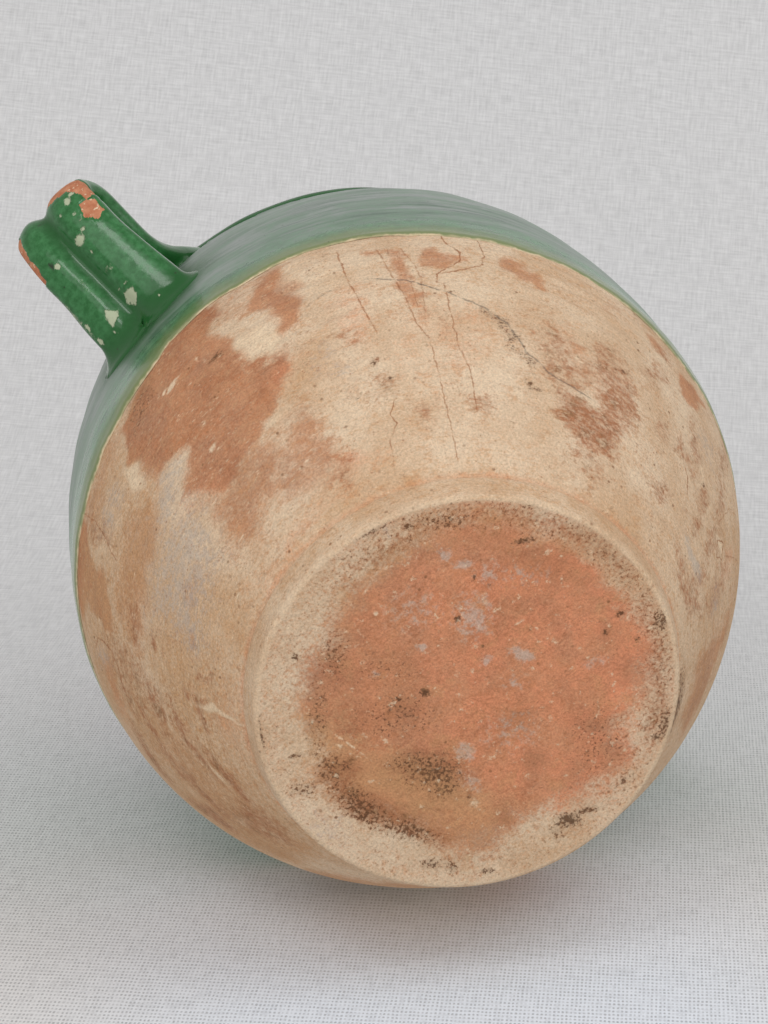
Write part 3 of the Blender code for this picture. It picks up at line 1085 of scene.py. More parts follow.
    HAIRS = strokes(
        (((-13.5, 118), (-13.6, 100), (-13, 88), (-12.5, 78), (-11.8, 70)), 0.8),
        (((4, 122), (4.4, 116), (6.4, 110), (5.6, 103), (3, 98), (1.2, 95), (1, 91)), 0.95),
        (((2, 88), (2.2, 72), (2.2, 60), (4, 48), (4, 34)), 0.75),
        (((-12.6, 40), (-14, 36), (-13.4, 32), (-16, 28), (-17, 20)), 0.8),
        (((-104, 80), (-99, 80), (-96, 86), (-96, 96), (-99, 101)), 0.9),
        (((76, 53.5), (73.6, 58), (75.8, 63), (78.2, 59), (76, 53.5)), 0.9),
        (((52, 66), (55, 60), (57.5, 55), (59, 50)), 0.8),
        (((150, 112), (153, 90), (149, 70), (151, 48)), 0.7),
        (((-150, 108), (-147, 90), (-150, 74)), 0.7),
    )
    MORE_HAIRS = strokes(
        (((-7.2, 113), (-6.4, 98), (-5.2, 84), (-4.4, 70), (-2.6, 62), (-2.4, 40), (-2, 18)), 0.7),
        (((10, 121), (10.2, 110), (9.6, 102), (6, 98), (2.6, 95.5)), 0.85),
        (((-3.4, 112), (-2, 101), (-1.6, 92), (-2.4, 76)), 0.6),
        (((-77.5, 118), (-76, 104), (-76.4, 94), (-78.5, 82)), 0.7),
        (((72, 66), (74, 82), (78, 92)), 0.5),
        (((79, 64), (82, 74), (85, 84)), 0.5),
    )
    SMEARS = strokes(
        (((-10, 96), (-4, 92), (0, 87), (3, 84)), 0.9),
        (((3, 83.5), (8, 78), (12, 71.5), (14, 66), (15.5, 60), (20, 53.5), (29, 50)), 0.75),
        (((-21, 92), (-17, 95.5)), 0.5),
    )
    LAYERS = {"flash": FLASHES, "blush": BLUSHES, "tan": TANS, "rust": RUSTS, "grey": GREYS,
              "pale": PALES, "soot": SOOTS}
    GRIT = (0.15, 0.6)        # at the middle line, and how much more at the sides
    GRITTY = (28.0, 58.0)     # the wall gets grittier between these turns
    LINE_UNIT = 2.1           # millimetres per degree, midway up the wall
    LINE_REACH = 4.0          # how far beside a hairline its distance is kept
    FOOT_CREASE = 12.4        # height of the crease over the foot
    CREASE_HALF = (0.4, 1.8)  # its painted shade is full to the first and gone at the second
    CREASE_SHADE_TAN = 0.6
    CREASE_SHADE_BLUSH = 0.7
    RUBBED_HIGHLIGHT = (1.0, 3.0)       # the foot's edge is rubbed pale and given a painted highlight up to these heights
    RUBBED_HIGHLIGHT_SHARE = 0.38

    def paint(self, turn: Array, height: Array, sway: Array) -> dict[str, Array]:
        """Paint the wall's points.

        Args:
            turn: Degrees from the photo's middle line, -180 to 180.
            height: Millimetres above the underside.
            sway: How far stains wander there, in millimetres, across and up.

        Returns:
            The painted values by name.
        """
        swayed = turn + sway[..., 0] / self.LINE_UNIT
        raised = height + sway[..., 1]
        layers = {key: covered(patches, swayed, raised, self.LINE_UNIT, turning=True)
                  for key, patches in self.LAYERS.items()}
        # painted shade: the foot's crease is darkened with tan and blush
        foot = fading(np.abs(height - self.FOOT_CREASE), *self.CREASE_HALF)
        layers["tan"] = np.maximum(layers["tan"], self.CREASE_SHADE_TAN * foot)
        layers["blush"] = np.maximum(layers["blush"], self.CREASE_SHADE_BLUSH * foot)
        # rubbed pale, partly a painted highlight along the foot's edge
        rubbed = self.RUBBED_HIGHLIGHT_SHARE * fading(height, *self.RUBBED_HIGHLIGHT)
        layers["pale"] = np.maximum(layers["pale"], rubbed)
        layers["grit"] = self.GRIT[0] + self.GRIT[1] * smooth(np.abs(turn), *self.GRITTY)
        fields = [stroke_field(group, turn * self.LINE_UNIT, height, self.LINE_UNIT,
                               self.LINE_REACH)
                  for group in (self.HAIRS, self.MORE_HAIRS, self.SMEARS)]
        layers["beside"] = np.stack([f[0] for f in fields], axis=-1)
        layers["weight"] = np.stack([f[1] for f in fields], axis=-1)
        return layers


class BaseMarks:
    """What age and fire left on the flat underside, placed as in the photo, with a partly painted
    highlight at its rim.
    """

    FLASHES = marks(
        (((-47, 38), (-48, 30), (-50, 21), (-54, 15), (-56, 3), (-58, -8), (-50, -18), (-50, -25),
          (-45, -30), (-42, -38), (-33, -43), (-25, -48), (-15, -53), (-8, -57), (0, -57),
          (10, -60), (20, -52), (30, -47), (40, -41), (49, -33), (54, -24), (58, -12), (60, 2),
          (59, 15), (55, 28), (51, 38), (43, 49), (34, 58), (22, 64), (8, 68), (-5, 67), (-18, 62),
          (-28, 56), (-37, 49), (-44, 43)), 1, 10),
    )
    BLUSHES = marks(
        (((-24, 56), (-30, 20), (-22, -8), (-6, -30), (0, -56), (30, -47), (49, -33), (60, 2),
          (51, 38), (22, 64)), 0.62, 12),
        (FLASHES[0].corners, 0.46, 8),
        (((-14, 56), (-14, 68), (8, 74), (30, 66), (48, 50), (60, 24), (63, 0), (59, -20),
          (50, -36), (34, -46), (34, -26), (44, -12), (46, 8), (42, 28), (32, 42),
          (12, 54)), 0.84, 12),
        (-6, 6, 12, 6, 0.5, 5), (25, 26, 14, 10, 0.42, 6),
    )
    TANS = marks(
        (((-58, -2), (-48, -4), (-34, -16), (-12, -22), (2, -38), (18, -44), (8, -56), (-14, -52),
          (-42, -34), (-60, -14)), 0.85, 9),
        (((-46, 52), (-20, 67), (10, 73), (42, 62), (64, 40), (54, 34), (34, 52), (8, 62),
          (-18, 57), (-40, 43)), 0.6, 5),
        (-52, 44, 16, 14, 0.3, 8), (62, -34, 14, 10, 0.5, 6), (30, -60, 18, 8, 0.4, 6),
        (66, 30, 6, 20, 0.5, 5),
    )
    RUSTS = marks(
        (((-50, -20), (-44, -20), (-40, -30), (-30, -36), (-16, -46), (-4, -54), (-8, -58),
          (-24, -50), (-40, -44), (-50, -30)), 0.72, 3.5),
        (-42, -25, 5, 5, 0.85, 3), (-22, -26, 12, 5, 0.5, 4, -18), (-46, 12, 6, 8, 0.44, 5),
        (8, 62, 14, 4, 0.42, 4), (48, 22, 3, 4, 0.5, 3), (-24, -2, 6, 5, 0.5, 4),
        (14, -48, 2, 6, 0.6, 2, 30), (18, -9, 5, 6, 0.56, 3), (24, -26, 5, 4, 0.5, 3),
        (26, 46, 14, 8, 0.42, 5), (-17, 66, 7, 2.5, 0.4, 3),
        (((-44, 52), (-20, 66), (10, 72), (42, 61), (60, 42), (54, 38), (36, 55), (8, 66),
          (-18, 61), (-40, 46)), 0.5, 3),
        (((62, 36), (71, 14), (72, -8), (67, -24), (61, -18), (64, 0), (63, 16),
          (57, 32)), 0.52, 3),
    )
    GREYS = marks(
        (1, 31, 6.5, 8, 0.62, 4), (6, 46, 5, 4, 0.5, 3), (18, 15, 4.4, 2, 0.95, 1.3, -24),
        (5.5, 14, 2, 1.8, 0.85, 1.3), (-1, -21, 3.4, 3, 0.9, 1.8), (1, -32, 4, 2, 0.6, 2, -40),
        (-3, 50.5, 3, 1.6, 0.85, 1.4), (-10, 54, 2.2, 2.2, 0.75, 1.5), (18, 45, 6, 3, 0.42, 3),
        (16, 5, 4, 2.5, 0.5, 2), (-32, 10.5, 2, 1, 0.8, 1), (-17, 20, 2, 1.2, 0.75, 1),
        (15, -14, 8, 6, 0.4, 5), (44, 11, 4, 2, 0.5, 2), (-50, -48, 8, 7, 0.4, 5),
        (-29.5, 62, 1, 2.4, 0.7, 1, 20), (-20, 34, 8, 6, 0.4, 5),
    )
    PALES = marks(
        (-41, -16, 7.5, 0.35, 0.85, 0.5, -40), (-38, 26, 4.5, 0.3, 0.7, 0.5, -58),
        (16, 27, 2.4, 0.35, 0.75, 0.5, 30), (-33, 33, 1, 1, 0.8, 0.6),
        (-36, 43, 0.4, 3.5, 0.7, 0.5, -28), (46, -6, 0.4, 2.5, 0.75, 0.5), (3, -41, 2, 2, 0.6, 1.5),
        (-14, -52, 6, 0.4, 0.7, 0.6, -50),
    )
    SOOTS = marks(
        (-12, -28, 8, 5, 0.66, 4, 6), (-18, -24, 7, 3.5, 0.5, 3), (-8, -34, 5, 4, 0.5, 3),
        (-37, -40, 11, 3.8, 0.6, 3.4, -42), (-21, -50, 9, 3.2, 0.56, 3, -22),
        (-48, -25, 4, 5, 0.52, 3), (-53, -6, 2.6, 11, 0.36, 3), (-47, 18, 4, 9, 0.34, 3),
        (-30, 12, 12, 6, 0.19, 5), (-26, -6, 14, 7, 0.24, 5), (46, -20, 9, 14, 0.22, 6),
        (-15.5, 2.8, 1.3, 1.5, 1, 0.6), (-5, 30, 1, 1, 1, 0.6), (-60.5, 18.7, 1, 1, 1, 0.5),
        (17, 57.6, 2.8, 0.8, 1, 0.7, 8), (47, 22, 0.8, 0.8, 1, 0.5),
        (-28, -4, 1.8, 0.7, 0.8, 0.6, 30), (52, 29, 1.4, 0.8, 0.9, 0.5, 30),
        (58.6, 19, 0.9, 0.9, 0.9, 0.6), (4, 19.3, 0.6, 0.6, 1, 0.5), (37, -50, 4, 2.6, 0.8, 1.8),
        (43, -46.8, 3.4, 0.9, 0.75, 1, 10), (33, -55, 3, 2, 0.45, 2),
        (-35, 63.5, 4.5, 1, 0.62, 1.2, 24), (-23, 64.8, 1.6, 0.9, 0.85, 0.8),
        (-11, 66, 7, 1.8, 0.5, 1.8), (41, 63, 5, 2.4, 0.45, 2, -40), (67, 26, 3, 3.5, 0.62, 2),
        (70.5, -15, 2.6, 6, 0.6, 2), (68, -19, 2.4, 1.6, 0.7, 1.2), (-60, -19, 1.6, 0.7, 0.7, 0.7),
        (-12, -64.5, 3, 1.6, 0.6, 1.4), (-4.5, -66, 1.4, 2.4, 0.62, 1.2, 20),
        (8, -68.6, 2.2, 0.9, 0.7, 0.8), (20, 71, 3, 1.2, 0.5, 1.2),
        (-72.2, -10, 0.4, 5, 0.85, 0.5, 6), (-43, -24, 2, 2, 0.5, 1.5),
        (56, -36, 3, 1.4, 0.45, 1.2, 30), (-58, -32, 4, 2.5, 0.4, 2), (1, -38, 0.5, 1, 0.7, 0.6),
        (-24.6, 0.8, 0.7, 0.9, 0.9, 0.5), (0.5, 45, 0.5, 0.9, 0.8, 0.5),
        (5.6, 41.5, 0.8, 0.5, 0.8, 0.5),
    )
    LAYERS = {"flash": FLASHES, "blush": BLUSHES, "tan": TANS, "rust": RUSTS, "grey": GREYS,
              "pale": PALES, "soot": SOOTS}
    SWAYED = ("flash", "blush", "tan")    # these wander, and the small marks keep their places
    PICTURE_RIGHT = (-0.667, -0.745)  # the photo's right and up, along X and Y
    PICTURE_UP = (-0.745, 0.667)
    RING_GRIT = 0.12          # how far the unfired ring is peppered with dark grit
    RING_BLUSH = 0.34         # how far it is tinged by the fire
    RING = (56.0, 66.0)       # where that ring starts, millimetres from the middle
    RING_SIDE = (-30.0, 40.0)     # it is stronger from here to the photo's upper right
    RING_LEAST = 0.6          # and has this share at the lower left
    RIM_LINE = (71.5, 73.0)   # the rubbed line at its edge, partly a painted highlight
    RIM_PALE_HIGHLIGHT = 0.4

    def paint(self, x: Array, y: Array, sway: Array) -> dict[str, Array]:
        """Paint the underside's points.

        Args:
            x: Millimetres along X.
            y: Millimetres along Y.
            sway: How far the large stains wander there, in millimetres, across and up.

        Returns:
            The painted values by name.
        """
        right, up = (a * x + b * y for a, b in (self.PICTURE_RIGHT, self.PICTURE_UP))
        layers = {}
        for key, patches in self.LAYERS.items():
            off = sway * (1.0 if key in self.SWAYED else 0.0)
            layers[key] = covered(patches, right + off[..., 0], up + off[..., 1], 1.0)
        least = self.RING_LEAST
        ring = smooth(np.hypot(x, y), *self.RING)
        ring = ring * (least + (1 - least) * smooth(right + up, *self.RING_SIDE))
        layers["soot"] = np.maximum(layers["soot"], ring * self.RING_GRIT)
        layers["blush"] = np.maximum(layers["blush"], ring * self.RING_BLUSH)
        layers["grit"] = np.ones(x.shape)
        # the rubbed rim, partly a painted highlight
        rim = smooth(np.hypot(x, y), *self.RIM_LINE)
        layers["pale"] = np.maximum(layers["pale"], self.RIM_PALE_HIGHLIGHT * rim)
        layers["beside"] = np.full((*x.shape, 3), WallMarks.LINE_REACH)
        layers["weight"] = np.zeros((*x.shape, 3))
        return layers


@dataclass(frozen=True)
class GlazeLine:
    """The green coat's wavy lower line, as heights in millimetres over degrees of turn."""

    turns: tuple = (-180, -130, -100, -70, -62, -55, -50, -45, -40, -30, -20, -15, -5, 0, 10, 20,
                    30, 40, 50, 70, 95, 130, 160, 180)
    heights: tuple = (121, 125, 119, 116, 117, 118, 119, 124, 125.5, 125.5, 126.5, 127, 125, 123.5,
                      122.5, 121.5, 120, 118.5, 116, 117, 122, 126, 119, 121)
    waves: tuple = ((0.45, 0.16, 31), (0.2, 0.05, 32))

    def at(self, turn: Array) -> Array:
        """Height of the line, with its small waves.

        Args:
            turn: Degrees from the photo's middle line.

        Returns:
            Heights in metres.
        """
        ring = turned(np.ones(turn.shape), np.zeros(turn.shape), np.radians(turn))
        waves = rippled(self.waves, ring)
        return (np.interp(turn, self.turns, self.heights) + waves) * MM


@dataclass(frozen=True)
class ThrownBody:
    """The clay body: underside, foot, wall, neck, lip, inside and floor in one skin."""

    form: PotForm
    segments: int = 360
    under_step: float = 0.0009
    row_step: float = 0.0014
    inner_step: float = 0.006
    floor_rows: int = 9
    crease_depth: float = 0.0009
    crease_width: float = 0.0011
    crease_rise: float = 0.0004   # its deepest line, above the foot's height
    ring_depth: float = 0.00022
    ring_pitch: float = 0.0072
    ring_waves: tuple = (0.09, 3)     # the rings come and go with these
    ring_start: float = 0.01  # they fade in over this height above the foot
    dent_depth: float = 0.00012
    dent_waves: tuple = (0.02, 5)
    deepest_dent: float = 0.0004
    dented: tuple = (0.068, 0.073)    # the underside's dents fade out between these radii
    flat_below: float = 1e-6  # points under this height are on the underside
    hub_rise: float = 0.0001  # the height of the underside's middle point
    sway_across: tuple = ((2.2, 0.034, 21), (1.1, 0.011, 22))
    sway_up: tuple = ((1.6, 0.03, 23), (0.9, 0.01, 24))

    def rows(self) -> tuple[Array, int, int]:
        """Lay the skin's rows from the underside's middle to the floor's middle.

        Returns:
            The rows as (radius, height), how many of them are on the underside, and how many
            are on the underside and the outer wall.
        """
        outside, inside = self.form.outside(), self.form.inside()
        underside = np.arange(self.under_step, outside.points[0, 0], self.under_step)
        bottom = np.stack([underside, np.zeros(underside.shape)], axis=-1)
        outer = int(outside.along[-1] / self.row_step)
        wall, _ = outside.read(np.linspace(0, outside.along[-1], outer))
        count = int(inside.along[-1] / self.inner_step)
        inner, _ = inside.read(np.linspace(0, inside.along[-1], count)[1:])
        floor = np.linspace(inner[-1, 0], self.inner_step, self.floor_rows + 1)[1:]
        floor = np.stack([floor, np.full(floor.shape, self.form.floor_thickness)], axis=-1)
        rows = np.concatenate([bottom, wall, inner, floor])
        return rows, len(bottom), len(bottom) + outer

    def build(self) -> bpy.types.Object:
        """Make the body and paint it.

        Returns:
            The piece.
        """
        form = self.form
        rows, under, outer = self.rows()
        angle = all_round(self.segments)
        radius = np.repeat(rows[:, :1], self.segments, axis=1)
        height = np.repeat(rows[:, 1:], self.segments, axis=1)
        spots = turned(radius, height, angle)
        outside = (np.arange(len(rows)) < outer)[:, None]
        turning = height / self.ring_pitch * math.tau + angle
        fade = 0.5 + 0.5 * Ripple(*self.ring_waves).at(spots)
        pushed = self.ring_depth * np.sin(turning) * fade + form.sagging(spots)
        pushed *= smooth(height, form.foot_height, form.foot_height + self.ring_start) * outside
        pushed *= height < form.shoulder_top
        crease = bell(height - form.foot_height - self.crease_rise, self.crease_width)
        pushed -= self.crease_depth * crease * outside
        spots[..., 0] += pushed * np.cos(angle)
        spots[..., 1] += pushed * np.sin(angle)
        dent = self.dent_depth * (1 + Ripple(*self.dent_waves).at(spots))
        dent = np.clip(dent * (height < self.flat_below), 0, self.deepest_dent)
        spots[..., 2] += dent * fading(radius, *self.dented)
        ends = [[0, 0, self.hub_rise], [0, 0, form.floor_thickness]]
        points = np.concatenate([spots.reshape(-1, 3), ends])
        faces = capped_faces(len(rows), self.segments)
        paint = self.painted(points, under * self.segments)
        piece = make_piece("thrown_body_clay", points, faces, paint, BareClay().material())
        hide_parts("thrown_body")
        return piece

    def painted(self, points: Array, under: int) -> dict[str, Array]:
        """Paint the wall and the underside, which meet at the foot's edge.

        Args:
            points: The body's points.
            under: How many of the first ones are on the underside.

        Returns:
            The painted values by name.
        """
        turn = wrapped(np.degrees(np.arctan2(points[:, 1], points[:, 0])) - PHOTO_AZIMUTH)
        sway = np.stack([rippled(table, points) for table in (self.sway_across, self.sway_up)],
                        axis=-1)
        paint = WallMarks().paint(turn, points[:, 2] / MM, sway)
        below = BaseMarks().paint(points[:, 0] / MM, points[:, 1] / MM, sway)
        flat = np.zeros(len(points), bool)
        flat[:under] = True
        flat[-2] = True
        for key, values in below.items():
            paint[key][flat] = values[flat]
        return paint


@dataclass(frozen=True)
class GreenCoat:
    """The green coat over shoulder, neck and lip, a thin shell with a tapering lower line."""

    form: PotForm
    line: GlazeLine
    segments: int = 360
    rows: int = 92
    thickness: float = 0.0009
    lift: float = 0.00012
    taper: float = 0.0035
    row_power: float = 1.15   # packs the rows towards the lower line
    unevenness: float = 0.18
    uneven_waves: tuple = (0.03, 8)
    roll: float = 0.35        # the rolled edge, as a share of the thickness
    roll_at: float = 0.0022   # its height above the line
    roll_width: float = 0.0016
    back_share: float = 0.2   # how far the coat's back is lifted, as a share of the lift
    veil_least: float = 0.25
    veil_starts: tuple = (0.13, 0.158)  # heights between which the coat turns milky
    veil_ends: tuple = (0.225, 0.245)
    root_height: float = 0.176    # the middle of the pool round a strap's lower root
    root_stretch: float = 1.15
    root_pool: tuple = (0.016, 0.036)
    root_side: float = 0.08   # the pools are farther out along Y than this
    neck_pool: tuple = (0.228, 0.24)
    neck_share: float = 0.8

    def build(self) -> bpy.types.Object:
        """Make the coat and paint it.

        Returns:
            The piece.
        """
        outside = self.form.outside()
        angle = all_round(self.segments)
        low = outside.length_at_height(self.line.at(wrapped(np.degrees(angle) - PHOTO_AZIMUTH)))
        share = np.linspace(0, 1, self.rows) ** self.row_power
        along = low + (outside.along[-1] - low) * share[:, None]
        spot, side = outside.read(along)
        above = along - low
        place = turned(spot[..., 0], spot[..., 1], angle)
        wave = 1 + self.unevenness * Ripple(*self.uneven_waves).at(place)
        body = (1 - np.exp(-above / self.taper)) * wave
        roll = self.roll * bell(above - self.roll_at, self.roll_width)
        thick = self.lift + self.thickness * (body + roll) / (1 + self.unevenness)
        sag = self.form.sagging(place) * (spot[..., 1] < self.form.shoulder_top)
        face = spot + side * (thick + sag)[..., None]
        back = spot + side * (self.lift * self.back_share + sag)[..., None]
        shell = [turned(moved[..., 0], moved[..., 1], angle) for moved in (face, back[::-1])]
        points = np.concatenate(shell).reshape(-1, 3)
        faces = ring_faces(2 * self.rows, self.segments, closed_rows=True)
        none = np.zeros(len(points))
        paint = {"above": np.concatenate([above, above[::-1]]).ravel() / MM,
                 "veil": self.veil(points), "pool": self.pool(points), "flake": none, "pit": none}
        material = GreenGlaze().material("green_glaze_shoulder")
        piece = make_piece("shoulder_glaze", points, faces, paint, material)
        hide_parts("outer_glaze")
        return piece

    def veil(self, points: Array) -> Array:
        """How milky the coat is, by height."""
        height = points[:, 2]
        milky = (1 - self.veil_least) * smooth(height, *self.veil_starts)
        return self.veil_least + milky * fading(height, *self.veil_ends)

    def pool(self, points: Array) -> Array:
        """How thick the coat lies, at the straps' lower roots and in the neck.

        Args:
            points: Rows of x, y, z.

        Returns:
            A share from 0 to 1 for each.
        """
        height = points[:, 2]
        near = np.hypot(points[:, 0] / self.root_stretch, height - self.root_height)
        roots = fading(near, *self.root_pool) * (np.abs(points[:, 1]) > self.root_side)
        return np.maximum(roots, smooth(height, *self.neck_pool) * self.neck_share)


class Side(Enum):
    """Which of the two straps."""

    FRONT = -1
    BACK = 1


@dataclass(frozen=True)
class StrapWear:
    """Chips on a strap's outer face, placed by (across, along) in millimetres."""

    bare: tuple
    flakes: tuple
    pits: tuple

    def mask(self, patches: tuple, across: Array, along: Array) -> Array:
        """How far points are covered by some patches."""
        return covered(patches, across / MM, along / MM, 1.0)


BACK_WEAR = StrapWear(
    bare=marks(
        (((1, 97), (1.5, 102.6), (6, 104), (12, 104.8), (15, 107), (16.6, 112), (20.5, 112),
          (20.5, 103), (16, 98), (8, 97)), 1.0, 0.7),
        (((13.4, 111.6), (19, 113.4), (18.6, 119.6), (14.6, 121.4), (11.6, 117)), 1, 0.7),
        (((-14.4, 98), (-15.2, 104), (-16.2, 109), (-16.4, 114), (-17.8, 122), (-24, 122),
          (-24, 98)), 1.0, 0.8),
    ),
    flakes=marks(
        (((0, 155.6), (-1.6, 151.6), (1, 148.4), (5.6, 150), (5, 153.2), (2, 155.4)), 0.86, 0.6),
        (((-9, 147.4), (-5.2, 151.6), (-6.6, 153.4), (-12, 155.6), (-11, 150)), 0.8, 0.6),
        (10.5, 108.2, 1.5, 1.3, 0.9, 0.7), (13.6, 107, 1.5, 0.9, 0.8, 0.6),
        (3.6, 122, 2.7, 1.9, 0.86, 1.0), (7.9, 120.2, 1.1, 0.9, 0.8, 0.6),
        (9.4, 113.6, 1.1, 0.7, 0.7, 0.6), (4.8, 110, 0.8, 0.7, 0.7, 0.5),
        (9.5, 117, 0.8, 0.5, 0.8, 0.5), (-10.0, 122.2, 1.4, 1.2, 0.95, 0.7),
        (3.4, 129, 0.4, 1.8, 0.9, 0.4, 20), (4, 138, 4, 2.4, 0.44, 1.6),
        (0.4, 146, 1.1, 0.7, 0.8, 0.5), (4.6, 147, 0.9, 0.8, 0.7, 0.5),
        (-12.2, 157, 0.4, 1.5, 0.9, 0.4, -30), (-18.9, 146.7, 0.8, 1.6, 0.95, 0.7),
        (-19.4, 154.4, 1.0, 1.6, 0.95, 0.7), (-19.8, 138, 1.2, 24, 0.5, 1.0),
        (10.6, 160.4, 0.5, 0.5, 0.9, 0.4), (-8, 134, 2.0, 7, 0.4, 2.0),
    ),
    pits=marks((-11.8, 120.4, 0.9, 1.5, 0.95, 0.5), (-4.5, 104.6, 1.6, 0.6, 0.6, 0.5)),
)
FRONT_WEAR = StrapWear(
    bare=marks(
        (((-18, 104), (-12, 101), (-7, 103.5), (-8, 108), (-14, 110), (-20.5, 109)), 1.0, 0.7),
        (((16.8, 84), (15.4, 92), (16.6, 99), (22, 99), (22, 84)), 1.0, 0.8),
        (8.5, 118, 2.6, 1.7, 1.0, 0.7, 20),
    ),
    flakes=marks(
        (-4.6, 113, 1.5, 1.1, 0.9, 0.7), (12.4, 104, 1.6, 0.8, 0.85, 0.6),
        (-12, 131, 2.2, 1.4, 0.85, 0.8, 30), (5.6, 139, 1.0, 0.7, 0.85, 0.5),
        (19.6, 130, 1.2, 20, 0.52, 1.0), (-19.6, 118, 1.0, 6, 0.8, 0.8),
        (9, 152, 1.8, 2.6, 0.8, 0.7, -20), (-6, 60, 2.0, 1.2, 0.8, 0.7),
    ),
    pits=marks((10.4, 126, 1.0, 1.2, 0.9, 0.5)),
)


